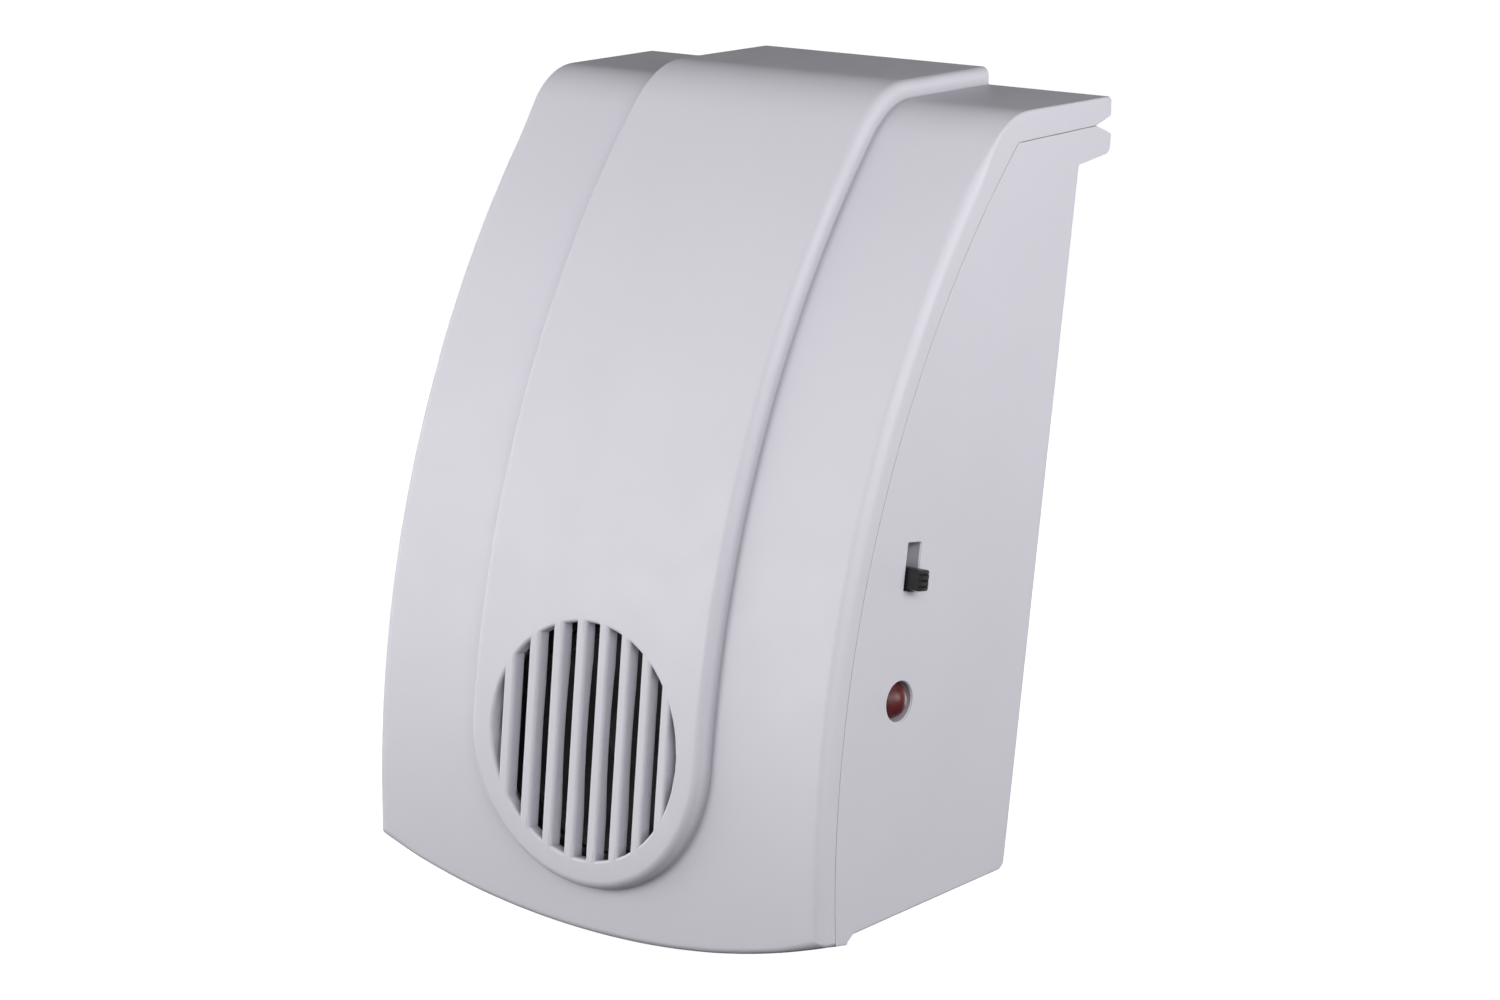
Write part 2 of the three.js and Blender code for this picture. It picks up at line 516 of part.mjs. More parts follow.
function makeCapacitors() {
  const film = box(FILM_CAPACITOR.x, aboveStand([0, FILM_CAPACITOR.height]), FILM_CAPACITOR.z);
  addStandingPart('film_capacitor', film, FILM_CAPACITOR.leads, MATERIALS.capFilm);
  const profile = FILTER_PROFILE.map(([r, height]) => [r, STAND + height]);
  const can = turned(profile, FILTER_CAPACITOR.x, FILTER_CAPACITOR.z, 24);
  addStandingPart('filter_capacitor', can, FILTER_CAPACITOR.leads, MATERIALS.capSleeve);
  const disc = DISC_CAPACITOR;
  disc.xs.forEach((x, i) => {
    const y = STAND + disc.height;
    const body = rod([x - disc.thickness / 2, y, disc.z], [x + disc.thickness / 2, y, disc.z], disc.r, 20);
    const foot = box(centred(x, disc.footX), aboveStand([0.2, 2.4]), centred(disc.z, disc.footZ));
    const leads = bothSides((side) => [x, disc.z + side * disc.leadZ]);
    addStandingPart(`timing_capacitor_${i + 1}`, body.add(foot), leads, MATERIALS.ceramicCap);
  });
}

function makeDiodes() {
  DIODE.places.forEach(([x, z], i) => addAxialPart(`rectifier_diode_${i + 1}`, x, z, DIODE, MATERIALS.black));
  addAxialPart('zener_diode', ZENER.x, ZENER.z, ZENER, MATERIALS.glass);
}

function makeChip() {
  const { x, z, stand, height } = CHIP;
  const block = box(centred(x, CHIP.length), aboveStand([stand, stand + height]), centred(z, CHIP.width));
  const endX = x - CHIP.length / 2;
  const notchY = STAND + height + stand - CHIP.notchDepth;
  const notch = rod([endX, notchY, z], [endX, notchY + 2, z], CHIP.notchR, 12);
  const legs = Array.from({ length: CHIP.legsPerSide }, (_, i) => bothSides((side) => {
    const legX = x + (i - (CHIP.legsPerSide - 1) / 2) * CHIP.pitch;
    const reach = [z + side * CHIP.legRoot, z + side * (CHIP.row / 2 + GAP)].sort((a, b) => a - b);
    const shoulder = box(centred(legX, CHIP.legWidth),
      centred(STAND + CHIP.legHeight, CHIP.legThickness), reach);
    return shoulder.add(lead(legX, z + side * CHIP.row / 2, STAND + CHIP.legHeight));
  })).flat();
  addPiece('oscillator_chip', join([cut(block, [notch]), ...legs]), MATERIALS.black);
}

function makeTransistor() {
  const { x, z, r } = TRANSISTOR;
  const [round] = bars([[x, z]], ...aboveStand(TRANSISTOR.y), r, 24);
  const body = round.intersect(box([x - 3, x + 3], [-25, 0], [z - TRANSISTOR.flat, z + 3]));
  const neck = box(centred(x, TRANSISTOR.neck), aboveStand(TRANSISTOR.neckY), centred(z, TRANSISTOR.neck));
  addStandingPart('driver_transistor', body.add(neck), [[x, z]], MATERIALS.black);
}

function makeResistors() {
  RESISTOR.places.forEach(([x, z], i) => addAxialPart(`resistor_${i + 1}`, x, z, RESISTOR, MATERIALS.carbon));
  addAxialPart('fuse', FUSE.x, FUSE.z, FUSE, MATERIALS.glass);
}

function makeCoil() {
  const { x, z, height, width, depth, leg, yoke } = COIL;
  const floor = STAND + COIL.stand;
  const full = [floor, floor + height];
  const legs = bothSides((side) => box(centred(x + side * (width - leg) / 2, leg), full, centred(z, depth)));
  const yokes = [floor, floor + height - yoke].map((y) =>
    box(centred(x, width), [y, y + yoke], centred(z, depth)));
  const post = box(centred(x, COIL.post), full, centred(z, depth));
  const [footX, footZ] = COIL.foot;
  const feet = bothSides((a) => bothSides((b) => [x + a * footX, z + b * footZ])).flat();
  addStandingPart('coil_core', join([...legs, ...yokes, post]), feet, MATERIALS.ferrite);
  const turns = COIL.windingY.map((y) => floor + y);
  const outer = box(centred(x, COIL.windingX[1]), turns, centred(z, COIL.windingZ[1]));
  const inner = box(centred(x, COIL.windingX[0]), full, centred(z, COIL.windingZ[0]));
  addPiece('coil_winding', outer.subtract(inner), MATERIALS.copper);
}

function makeBoard() {
  const plate = box(BOARD.x, [BOARD.front, BOARD_REAR], BOARD.z);
  const leadHoles = bars(boardHoles, BOARD.front - 1, BOARD_REAR + 1, LEAD_HOLE_R, 6);
  const screwHoles = bars(BOARD_SCREWS, BOARD.front - 1, BOARD_REAR + 1, BOARD.screwHoleR, 12);
  addPiece('circuit_board', cut(plate, [...leadHoles, ...screwHoles]), MATERIALS.board);
}

// ---- slide switch ----

function makeSwitch() {
  const { y, z } = SWITCH;
  const shell = box(SWITCH.shellX, centred(y, SWITCH.shellY), centred(z, SWITCH.shellZ));
  const chamber = box(SWITCH.chamberX, centred(y, SWITCH.chamberY), centred(z, SWITCH.chamberZ));
  addPiece('switch_body', shell.subtract(chamber), MATERIALS.black);
  const plate = box(SWITCH.plateX, centred(y, SWITCH.shellY), centred(z, SWITCH.shellZ));
  const window = box([34, 36], centred(y, SWITCH.windowY), centred(z, SWITCH.windowZ));
  addPiece('switch_frame', plate.subtract(window), MATERIALS.steel);
  const knobZ = z - SWITCH.travel / 2;
  const stem = box(KNOB.x, centred(y, KNOB.width), centred(knobZ, KNOB.height));
  const foot = box([KNOB.x[0], KNOB.footX], centred(y, KNOB.footY), centred(knobZ, KNOB.footZ));
  addPiece('switch_knob', stem.add(foot), MATERIALS.black);
  const contact = box(CONTACT.x, centred(y, CONTACT.y), centred(knobZ, CONTACT.z));
  addPiece('switch_contact', contact, MATERIALS.copper);
  [-1, 0, 1].forEach((place, i) => {
    const pinZ = z + place * SWITCH.pinPitch;
    boardHoles.push([SWITCH.pinX, pinZ]);
    const [pin] = bars([[SWITCH.pinX, pinZ]], y + SWITCH.pinFrontY, PIN_END, LEAD_R, 6);
    addPiece(`switch_pin_${i + 1}`, pin, MATERIALS.brass);
  });
}

// ---- indicator light ----

function makeLed() {
  const { y, z, r, tipX } = LED;
  const dome = new THREE.SphereGeometry(r, 16, 8);
  dome.translate(tipX - r, y, z);
  const barrel = rod([LED.barrelX, y, z], [tipX - r, y, z], r, 16);
  const collar = rod([LED.collarX[0], y, z], [LED.collarX[1], y, z], r + LED.collar, 16);
  addPiece('led_lens', join([collar, barrel, solid(dome)]), MATERIALS.redLens);
  bothSides((side) => side).forEach((side, i) => {
    const leadZ = z + side * LED.leadPitch;
    const bendX = LED.bendX + side;
    const level = rod([bendX, y, leadZ], [LED.leadX, y, leadZ], LEAD_R, 6);
    const corner = solid(new THREE.SphereGeometry(LEAD_R, 6, 4).translate(bendX, y, leadZ));
    boardHoles.push([bendX, leadZ]);
    const [down] = bars([[bendX, leadZ]], y, PIN_END, LEAD_R, 6);
    addPiece(`led_lead_${i + 1}`, join([level, corner, down]), MATERIALS.steel);
  });
}

// ---- mains plug ----

// half of the blade's outline in y and z, mirrored to make the whole
function bladeShape() {
  const half = BLADE.width / 2;
  const upper = [
    [BLADE.length, half - BLADE.nose],
    [BLADE.length - BLADE.nose, half],
    [BLADE_SHOULDER.rear, half],
    [BLADE_SHOULDER.rear, BLADE_SHOULDER.halfZ],
    [BLADE_SHOULDER.front, BLADE_SHOULDER.halfZ],
    [BLADE_SHOULDER.front, BLADE_TAIL.halfZ],
    [BLADE_TAIL.end, BLADE_TAIL.halfZ],
  ];
  const lower = upper.map(([y, z]) => [y, -z]).reverse();
  const shape = new THREE.Shape([...lower, ...upper].map(([y, z]) => new THREE.Vector2(y, z)));
  const hole = new THREE.Path();
  hole.absarc(BLADE.holeY, 0, BLADE.holeR, 0, 2 * Math.PI, true);
  shape.holes.push(hole);
  return shape;
}

function makePlug() {
  const sweep = { depth: BLADE.thickness, bevelEnabled: false, curveSegments: 8 };
  const blade = new THREE.ExtrudeGeometry(bladeShape(), sweep);
  blade.applyMatrix4(new THREE.Matrix4().makeBasis(
    new THREE.Vector3(0, 1, 0), new THREE.Vector3(0, 0, 1), new THREE.Vector3(1, 0, 0)));
  const tailSlots = bothSides((side) =>
    box(centred(side * BLADE.x, BLADE.thickness + 2 * GAP), [-10, 0], centred(0, 2 * (BLADE_TAIL.halfZ + GAP))));
  const screwHoles = bars(CLAMP_PLACES, -10, 0, CLAMP.screwHoleR, 12);
  const bar = box([-CLAMP.halfX, CLAMP.halfX], [CLAMP.front, CLAMP.rear], [-CLAMP.halfZ, CLAMP.halfZ]);
  addPiece('blade_clamp', cut(bar, [...tailSlots, ...screwHoles]), MATERIALS.black);
  [['left', -1], ['right', 1]].forEach(([label, side]) => {
    const placed = blade.clone().translate(side * BLADE.x - BLADE.thickness / 2, 0, 0);
    addPiece(`plug_blade_${label}`, solid(placed), MATERIALS.brass);
    addScrew(`clamp_screw_${label}`, side * CLAMP_POST.x, 0, CLAMP.front - GAP, 1, CLAMP_SCREW);
  });
}

// ---- internal wires ----

// the wires' paths for the right side; the left ones are their mirror images
const MAINS_PATH = [
  [BLADE.x, BLADE_TAIL.end - GAP, 0],
  [6.4, -12.3, 0.4],
  [7.2, -15.2, 2.2],
  [9, -17, 6],
  [10, -18.6, 10.2],
  [10, BOARD_REAR + 2 * GAP, 11],
];
const SIGNAL_PATH = [
  [LUG.x, -24.6, GRILLE.z + 1.2],
  [LUG.x, -24.7, GRILLE.z + 3.6],
  [5.2, -25.2, GRILLE.z + 7],
  [5.6, -25.6, GRILLE.z + 11],
  [6, -25.3, GRILLE.z + 14.6],
  [6, BOARD.front - 2 * GAP, GRILLE.z + 15.4],
];

function makeWires() {
  [['left', -1, MATERIALS.wireBlack], ['right', 1, MATERIALS.wireRed]].forEach(([label, side, material]) => {
    const mirrored = (path) => path.map(([x, y, z]) => [side * x, y, z]);
    addPiece(`mains_wire_${label}`, wire(mirrored(MAINS_PATH), MAINS_WIRE_R), material);
    addPiece(`transducer_wire_${label}`, wire(mirrored(SIGNAL_PATH), SIGNAL_WIRE_R), material);
  });
}

makeFrontCover();
makeRearHousing();
makeScrews();
makeTransducer();
makeCapacitors();
makeDiodes();
makeChip();
makeTransistor();
makeResistors();
makeCoil();
makeSwitch();
makeLed();
makeBoard();
makePlug();
makeWires();

export default group;
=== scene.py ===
import json
import math

import bmesh
import bpy
import numpy as np
from mathutils import Matrix, Vector


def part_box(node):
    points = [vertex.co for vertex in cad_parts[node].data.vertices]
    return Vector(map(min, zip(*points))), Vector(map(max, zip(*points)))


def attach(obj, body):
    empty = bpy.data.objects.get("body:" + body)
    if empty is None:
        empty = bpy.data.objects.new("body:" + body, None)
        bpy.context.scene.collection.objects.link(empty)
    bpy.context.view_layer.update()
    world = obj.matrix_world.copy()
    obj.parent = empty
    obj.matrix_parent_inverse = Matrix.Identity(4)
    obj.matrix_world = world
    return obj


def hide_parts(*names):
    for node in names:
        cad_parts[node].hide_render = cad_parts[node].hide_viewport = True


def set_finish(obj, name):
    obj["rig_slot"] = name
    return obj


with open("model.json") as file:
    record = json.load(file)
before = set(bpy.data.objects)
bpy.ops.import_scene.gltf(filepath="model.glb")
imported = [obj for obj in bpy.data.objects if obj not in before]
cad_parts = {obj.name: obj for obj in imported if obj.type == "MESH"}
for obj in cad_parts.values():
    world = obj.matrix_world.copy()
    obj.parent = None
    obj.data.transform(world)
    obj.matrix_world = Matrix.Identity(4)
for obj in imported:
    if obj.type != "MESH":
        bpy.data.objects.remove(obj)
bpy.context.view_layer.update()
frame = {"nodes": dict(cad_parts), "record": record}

# Plug-in ultrasonic pest repeller. Shapes are worked out in millimetres and made in metres.
# The origin is on the back wall between the plug blades, +Y goes into the wall, +Z is up.
MM = 0.001

# ---- camera

AIM = Vector((3.07, -15.72, -8.49)) * MM
CAMERA_AZIMUTH = 37.37
CAMERA_ELEVATION = 6.0
CAMERA_ROLL = math.radians(-5.77)
CAMERA_DISTANCE = 530.9 * MM


def direction(azimuth, elevation):
    """Away from the object; both angles are in degrees, and azimuth 0 is the front."""
    a, e = math.radians(azimuth), math.radians(elevation)
    return Vector((math.sin(a) * math.cos(e), -math.cos(a) * math.cos(e), math.sin(e)))


toward_camera = direction(CAMERA_AZIMUTH, CAMERA_ELEVATION)
camera_data = bpy.data.cameras.new("camera")
camera_data.lens = 98.4
camera_data.sensor_width = 36.0
camera_data.clip_start = 0.01
camera_data.clip_end = 50.0
camera = bpy.data.objects.new("camera", camera_data)
bpy.context.scene.collection.objects.link(camera)
upright = (-toward_camera).to_track_quat("-Z", "Y").to_matrix().to_4x4()
camera_place = Matrix.Translation(AIM + toward_camera * CAMERA_DISTANCE)
camera.matrix_world = camera_place @ upright @ Matrix.Rotation(-CAMERA_ROLL, 4, "Z")
bpy.context.scene.camera = camera

# ---- the casing's lines, in mm

WALL = 2.0
HALF_WIDTH = 38.0            # at LIP_REAR_Y; each side closes in by SIDE_TAPER per mm forward
LIP_REAR_Y = 6.4
SIDE_TAPER = 0.025
FRONT_ARC = (95.4, -31.4, 134.85)     # centre y, centre z, radius
SEAM_ARC = (91.84, -32.25, 128.45)
TOP_REAR = (5.3, 47.9)
TOP_ANGLE = math.radians(9)
TOP_BEND = 4.2
SEAM_NOTCH = (2.7, 44.05)
SEAM_SLOPE = 0.183
SEAM_GAP = 0.05
COVER_LIP = [(5.3, 47.9), (6.0, 45.45), (4.6, 44.78)]
BOTTOM_Z = -58.4
ARCH_RADIUS = 123.3
ARCH_DROP = 5.95
ARCH_CENTRE_Z = BOTTOM_Z - ARCH_DROP + ARCH_RADIUS
BOTTOM_SLOPE = math.tan(math.radians(10.5))
BOTTOM_FRONT_Y = -36.8
FLANGE_REAR_Y = -31.6
REAR_CHAMFER = 0.7
BAND_HALF = 19.1
BAND_PROUD = 2.2
GRILLE_Z = -39.12
GRILLE_R = 15.11
SLOT_PITCH = 3.67
SLOT_WIDTH = 2.0
SLOT_COUNT = 9
SLOT_FLARE = 0.45            # rounding of the bars' front edges
RELIEF_R = 16.4
RELIEF_REAR_Y = -34.0
BAR_DEPTH = 1.6
BEFORE_Y = -60.0             # a plane in front of everything

# posts, tunnels and holes inside the casing, with places as (x, z)
CASE_SCREWS = [(-31, 30), (31, 30), (-31, -44), (31, -44)]
BOARD_SCREWS = [(-26, 21), (29.5, 21), (-26, -35), (29.5, -35)]
EARS = [(-21.5, GRILLE_Z), (21.5, GRILLE_Z)]
CLAMPS = [(-13, 0), (13, 0)]
CASE_HOLE_R = 1.75
PILOT_R = 1.3
POST = {"r": 3.5, "rear": -12.95, "hole_front": -20.55}
EAR_POST = {"r": 2.75, "rear": -33.1, "hole_front": -37.4}
RING_WALL = {"outer": 18.4, "inner": 17.0, "rear": -33.3}
TUNNEL = {"r": 4.3, "front": -12.65, "seat": -9.65, "counterbore": 3.25}
BOARD_POST = {"r": 3.0, "front": -21.5, "hole_front": -22.5, "hole_rear": -14.5}
CLAMP_POST = {"r": 2.5, "front": -4.1, "hole_front": -5.1, "hole_rear": -1.2}

SWITCH = {"y": -26.4, "z": -11.6, "width": 2.6, "length": 6.0, "corner": 0.15}
LED = {"y": -26.2, "z": -28.4, "hole": 2.55, "r": 2.35, "tip": 37.8, "flange": 31.2}
BLADE = {"x": 6.35, "half_z": 3.175, "tip": 17, "hole_y": 12, "hole": 1.6, "corner": 1.6}


def half_width(y):
    return HALF_WIDTH - SIDE_TAPER * (LIP_REAR_Y - y)


def arc_y(arc, z, inward=0.0):
    return arc[0] - np.sqrt((arc[2] - inward) ** 2 - (z - arc[1]) ** 2)


def top_z(y):
    return TOP_REAR[1] + math.tan(TOP_ANGLE) * (y - TOP_REAR[0])


def arch_z(x, raised=0.0):
    return ARCH_CENTRE_Z - math.sqrt((ARCH_RADIUS - raised) ** 2 - x * x)


def meet_z(arc, inward, line):
    z = 40.0
    for _ in range(60):
        z = line(arc_y(arc, z, inward))
    return z


def seam_line(back):
    return lambda y: SEAM_NOTCH[1] - back + SEAM_SLOPE * (y - SEAM_NOTCH[0])


def bezier(a, b, c, count):
    s = np.linspace(0, 1, count + 1)[:, None]
    a, b, c = (np.array(p, float) for p in (a, b, c))
    return (1 - s) ** 2 * a + 2 * s * (1 - s) * b + s * s * c


def soften(corners, count=4):
    """A path of (y, z, radius) corners with each corner rounded; a radius of 0 stays sharp."""
    path = []
    for i, (y, z, r) in enumerate(corners):
        here = np.array((y, z), float)
        if r <= 0 or i in (0, len(corners) - 1):
            path.append(here)
            continue
        before = np.array(corners[i - 1][:2], float) - here
        after = np.array(corners[i + 1][:2], float) - here
        start = here + before / np.linalg.norm(before) * r
        end = here + after / np.linalg.norm(after) * r
        path.extend(bezier(start, here, end, count))
    return np.array(path)


# ---- mesh tools

WELD = 0.002                 # points nearer than this are one point


def link(name, mesh):
    obj = bpy.data.objects.new(name, mesh)
    bpy.context.scene.collection.objects.link(obj)
    return obj


def solid_object(name, points, faces):
    """A closed mesh from points in mm: doubles merged, normals turned outward."""
    mesh = bpy.data.meshes.new(name)
    mesh.from_pydata([tuple(p) for p in np.asarray(points) * MM], [], faces)
    bm = bmesh.new()
    bm.from_mesh(mesh)
    bmesh.ops.remove_doubles(bm, verts=bm.verts, dist=WELD * MM)
    bmesh.ops.dissolve_degenerate(bm, edges=bm.edges, dist=WELD / 2 * MM)
    bmesh.ops.recalc_face_normals(bm, faces=bm.faces)
    if bm.calc_volume(signed=True) < 0:
        bmesh.ops.reverse_faces(bm, faces=bm.faces)
    bm.to_mesh(mesh)
    bm.free()
    return link(name, mesh)


def row_faces(rows, n, closed=True):
    """Faces between successive rows of n points; a closed row also joins its last point to its first."""
    ahead = [(k, (k + 1) % n) for k in range(n if closed else n - 1)]
    return [(i * n + a, i * n + b, i * n + n + b, i * n + n + a) for i in range(rows - 1) for a, b in ahead]


def loft(name, rings, caps=True):
    """Closed loops of equal count joined in order, with the first and last filled."""
    n = len(rings[0])
    faces = row_faces(len(rings), n)
    if caps:
        faces += [tuple(range(n)), tuple((len(rings) - 1) * n + k for k in range(n))]
    return solid_object(name, np.vstack(rings), faces)


def turned(name, profile, origin, axis="Y", sides=64):
    """A turned shape from (radius, distance along the axis) pairs, closed at both ends."""
    angles = np.linspace(0, 2 * math.pi, sides, endpoint=False)
    rings = []
    for r, along in profile:
        r = max(r, 1e-4)
        c, s = r * np.cos(angles), r * np.sin(angles)
        a = np.full(sides, float(along))
        ring = {"Y": (c, a, s), "X": (a, c, s), "Z": (c, s, a)}[axis]
        rings.append(np.column_stack(ring) + np.array(origin))
    return loft(name, rings)


def rectangle(width, height):
    return np.array([(a * width / 2, b * height / 2) for a, b in ((-1, -1), (1, -1), (1, 1), (-1, 1))])


def rounded_rectangle(width, height, r, steps):
    path = []
    for i, (a, b) in enumerate(((1, 1), (-1, 1), (-1, -1), (1, -1))):
        for turn in np.radians(np.linspace(90 * i, 90 * i + 90, steps)):
            path.append((a * (width / 2 - r) + r * math.cos(turn), b * (height / 2 - r) + r * math.sin(turn)))
    return np.array(path)


def apply_modifiers(obj):
    depsgraph = bpy.context.evaluated_depsgraph_get()
    mesh = bpy.data.meshes.new_from_object(obj.evaluated_get(depsgraph))
    old = obj.data
    obj.modifiers.clear()
    obj.data = mesh
    bpy.data.meshes.remove(old)


def combine(obj, others, operation):
    """Boolean obj with each of the others, which are used up."""
    for other in others:
        step = obj.modifiers.new(operation.lower(), "BOOLEAN")
        step.operation = operation
        step.solver = "EXACT"
        step.object = other
        apply_modifiers(obj)
        bpy.data.objects.remove(other)
    return obj


def gather(name, objects):
    """Separate closed meshes as one object, so that one boolean uses them all."""
    bm = bmesh.new()
    for other in objects:
        bm.from_mesh(other.data)
        bpy.data.objects.remove(other)
    mesh = bpy.data.meshes.new(name)
    bm.to_mesh(mesh)
    bm.free()
    return link(name, mesh)


def shade(obj, angle=32.0):
    """Smooth faces with sharp edges over the angle, and normals led by the large faces."""
    bm = bmesh.new()
    bm.from_mesh(obj.data)
    for face in bm.faces:
        face.smooth = True
    for edge in bm.edges:
        edge.smooth = len(edge.link_faces) == 2 and edge.calc_face_angle(0.0) < math.radians(angle)
    bm.to_mesh(obj.data)
    bm.free()
    step = obj.modifiers.new("normals", "WEIGHTED_NORMAL")
    step.mode = "FACE_AREA_WITH_ANGLE"
    step.weight = 60
    step.keep_sharp = True
    apply_modifiers(obj)
    return obj


# ---- front cover

CORNER_R = 0.8               # rounding of the front view's two lower corners
BOTTOM_STATIONS = 60
SIDE_FILLET = 1.5            # rounding between the front and each side
TOP_FILLET = 0.35            # the same along the top
FILLET_BLEND = (6.0, 8.0)    # where the one starts to turn into the other below the bend, and over how far
UNDER_FILLET = 0.8           # the same along the underside
LIP_ROUND = 0.25
LIP_MIDDLE = (4.5, 46.2)     # (y, z) inside the cover's rear lip
BAND_ROWS = 5                # rows round the lip that keep the band's height
TOP_END_Y = TOP_REAR[0] - 0.3


class Side:
    """Stations up one side of the cover: skin points, outward and inward directions, seam points."""

    def __init__(self, top_end_y):
        corner_z = meet_z(FRONT_ARC, 0, top_z)
        corner_y = arc_y(FRONT_ARC, corner_z)
        start_z = corner_z - TOP_BEND
        bend_end = corner_y + TOP_BEND
        arc_heights = np.linspace(GRILLE_Z, start_z, 56)
        arc = np.column_stack([arc_y(FRONT_ARC, arc_heights), arc_heights])
        bend = bezier(arc[-1], (corner_y, corner_z), (bend_end, top_z(bend_end)), 14)
        top_y = np.linspace(bend_end, top_end_y, 11)
        top = np.column_stack([top_y, top_z(top_y)])
        self.points = np.vstack([arc, bend[1:], top[1:]])
        tangent = np.gradient(self.points, axis=0)
        on_arc = len(arc)
        out = np.column_stack([-tangent[:, 1], tangent[:, 0]])
        out[:on_arc] = (arc - np.array(FRONT_ARC[:2])) / FRONT_ARC[2]
        out[-len(top) + 1:] = (-math.sin(TOP_ANGLE), math.cos(TOP_ANGLE))
        out /= np.linalg.norm(out, axis=1)[:, None]
        self.low = self.points[:, 1] <= FRONT_ARC[1]
        self.inward = -out
        self.inward[self.low] = (1, 0)
        # on the flat top the direction turns from square to upright at the rear end
        self.share = np.zeros(len(out))
        self.share[-len(top) + 1:] = np.linspace(0, 1, len(top))[1:]
        upright = np.array((0.0, 1 / math.cos(TOP_ANGLE)))
        self.out = out * (1 - self.share[:, None]) + upright * self.share[:, None]
        blend = np.clip((self.points[:, 1] - start_z + FILLET_BLEND[0]) / FILLET_BLEND[1], 0, 1)
        self.fillet = SIDE_FILLET + (TOP_FILLET - SIDE_FILLET) * blend ** 2 * (3 - 2 * blend)
        self.seam = self.seam_points()

    def seam_points(self):
        """Where each station's inward direction meets the seam."""
        line = seam_line(0)
        seam_corner_z = meet_z(SEAM_ARC, 0, line)
        centre = np.array(SEAM_ARC[:2])
        found = []
        for p, d in zip(self.points, self.inward):
            rel = p - centre
            b = rel @ d
            s = -b - math.sqrt(b * b - (rel @ rel - SEAM_ARC[2] ** 2))
            hit = p + s * d
            if hit[1] > seam_corner_z:
                s = (line(p[0]) - p[1]) / (d[1] - SEAM_SLOPE * d[0])
                hit = p + s * d
            found.append(hit)
        found = np.array(found)
        flat = np.nonzero(self.share > 0)[0]
        first = found[flat[0] - 1]
        for i in flat:
            found[i] = first + (np.array(SEAM_NOTCH) - first) * self.share[i]
        return found

    def raised(self, height):
        """The stations moved outward by a height."""
        points = self.points + self.out * height
        y = arc_y(FRONT_ARC, self.points[self.low, 1], -height)
        points[self.low] = np.column_stack([y, self.points[self.low, 1]])
        return points


def lower_outline(inset):
    """The front view's outline below the grille's centre, from right to left, moved inward by inset."""
    inset = np.broadcast_to(inset, BOTTOM_STATIONS * 2 + 1)
    side_n, corner_n = 12, 8
    under_n = BOTTOM_STATIONS + 1 - side_n - corner_n
    xs, zs = [], []
    for i in range(BOTTOM_STATIONS + 1):
        e = inset[i]
        corner_r = max(CORNER_R - e, 0.03)
        centre_x = HALF_WIDTH - e - corner_r
        centre_z = ARCH_CENTRE_Z - math.sqrt((ARCH_RADIUS - e - corner_r) ** 2 - centre_x ** 2)
        turn = math.atan2(centre_z - ARCH_CENTRE_Z, centre_x)
        if i < side_n:
            share = (i + 1) / side_n
            xs.append(HALF_WIDTH - e)
            zs.append(GRILLE_Z + (centre_z - GRILLE_Z) * share)
        elif i < side_n + corner_n:
            angle = turn * (i + 1 - side_n) / corner_n
            xs.append(centre_x + corner_r * math.cos(angle))
            zs.append(centre_z + corner_r * math.sin(angle))
        else:
            share = (i + 1 - side_n - corner_n) / under_n
            angle = turn + (-math.pi / 2 - turn) * share
            xs.append((ARCH_RADIUS - e) * math.cos(angle))
            zs.append(ARCH_CENTRE_Z + (ARCH_RADIUS - e) * math.sin(angle))
    return np.array(xs + [-x for x in xs[-2::-1]]), np.array(zs + zs[-2::-1])


FREE_X, FREE_Z = lower_outline(0.0)
SPOKES = np.arctan2(FREE_Z - GRILLE_Z, FREE_X)


def circle(w):
    """The lower outline's stations on a circle about the grille's centre."""
    return w * np.cos(SPOKES), GRILLE_Z + w * np.sin(SPOKES)


def taper(points):
    """Draws the sides in towards the front, outside the band."""
    x = points[:, 0]
    lean = (HALF_WIDTH - half_width(points[:, 1])) / (HALF_WIDTH - BAND_HALF)
    outside = np.maximum(np.abs(x) - BAND_HALF, 0)
    points[:, 0] = x - np.sign(x) * lean * outside
    return points


def loop(side, width, lower, height=0.0, depth=0.0, lower_depth=0.0, to_seam=0.0, short=0.0):
    """One U-shaped loop of points: down the right side, round the bottom and up the left side.

    The sides lie at x = width and the bottom follows lower, an (x, z) outline. Height raises the skin and
    depth lowers it. The last two values move the loop towards the seam, by a share and short of it in mm.
    """
    straight = side.raised(height) + side.inward * np.reshape(depth, (-1, 1))
    gap = side.seam - straight
    length = np.linalg.norm(gap, axis=1)[:, None]
    straight = straight + gap * to_seam - gap / length * short
    right = np.insert(straight, 0, width, axis=1)
    x, z = lower
    y = arc_y(FRONT_ARC, z, -height) + lower_depth
    y = y + (arc_y(SEAM_ARC, z) - y) * to_seam - short
    bottom = np.column_stack([x, y, z])
    return np.vstack([right[::-1], bottom, right * (-1, 1, 1)])


def band_section():
    """(distance from the band's outline, height) from the crown down to the casing."""
    slope = math.radians(84)
    top_r, base_r, base_reach = 1.1, 0.3, 0.15
    rows = []
    for a in np.linspace(0, slope, 8):
        rows.append((top_r * math.sin(a), BAND_PROUD - top_r * (1 - math.cos(a))))
    wall_height = BAND_PROUD - (top_r + base_r) * (1 - math.cos(slope))
    x, z = rows[-1]
    x, z = x + wall_height / math.tan(slope), z - wall_height
    rows.append((x, z))
    for a in np.linspace(slope, 0, 6)[1:]:
        rows.append((x + base_r * (math.sin(slope) - math.sin(a)), base_r * (1 - math.cos(a))))
    rows = np.array(rows)
    rows[:, 0] += base_reach - rows[-1, 0]
    return rows


def strip_faces(first, second):
    """Faces between two rows of point numbers."""
    return [(first[k], first[k + 1], second[k + 1], second[k]) for k in range(len(first) - 1)]


def between(inner, outer, share):
    return tuple(a + (b - a) * share for a, b in zip(inner, outer))


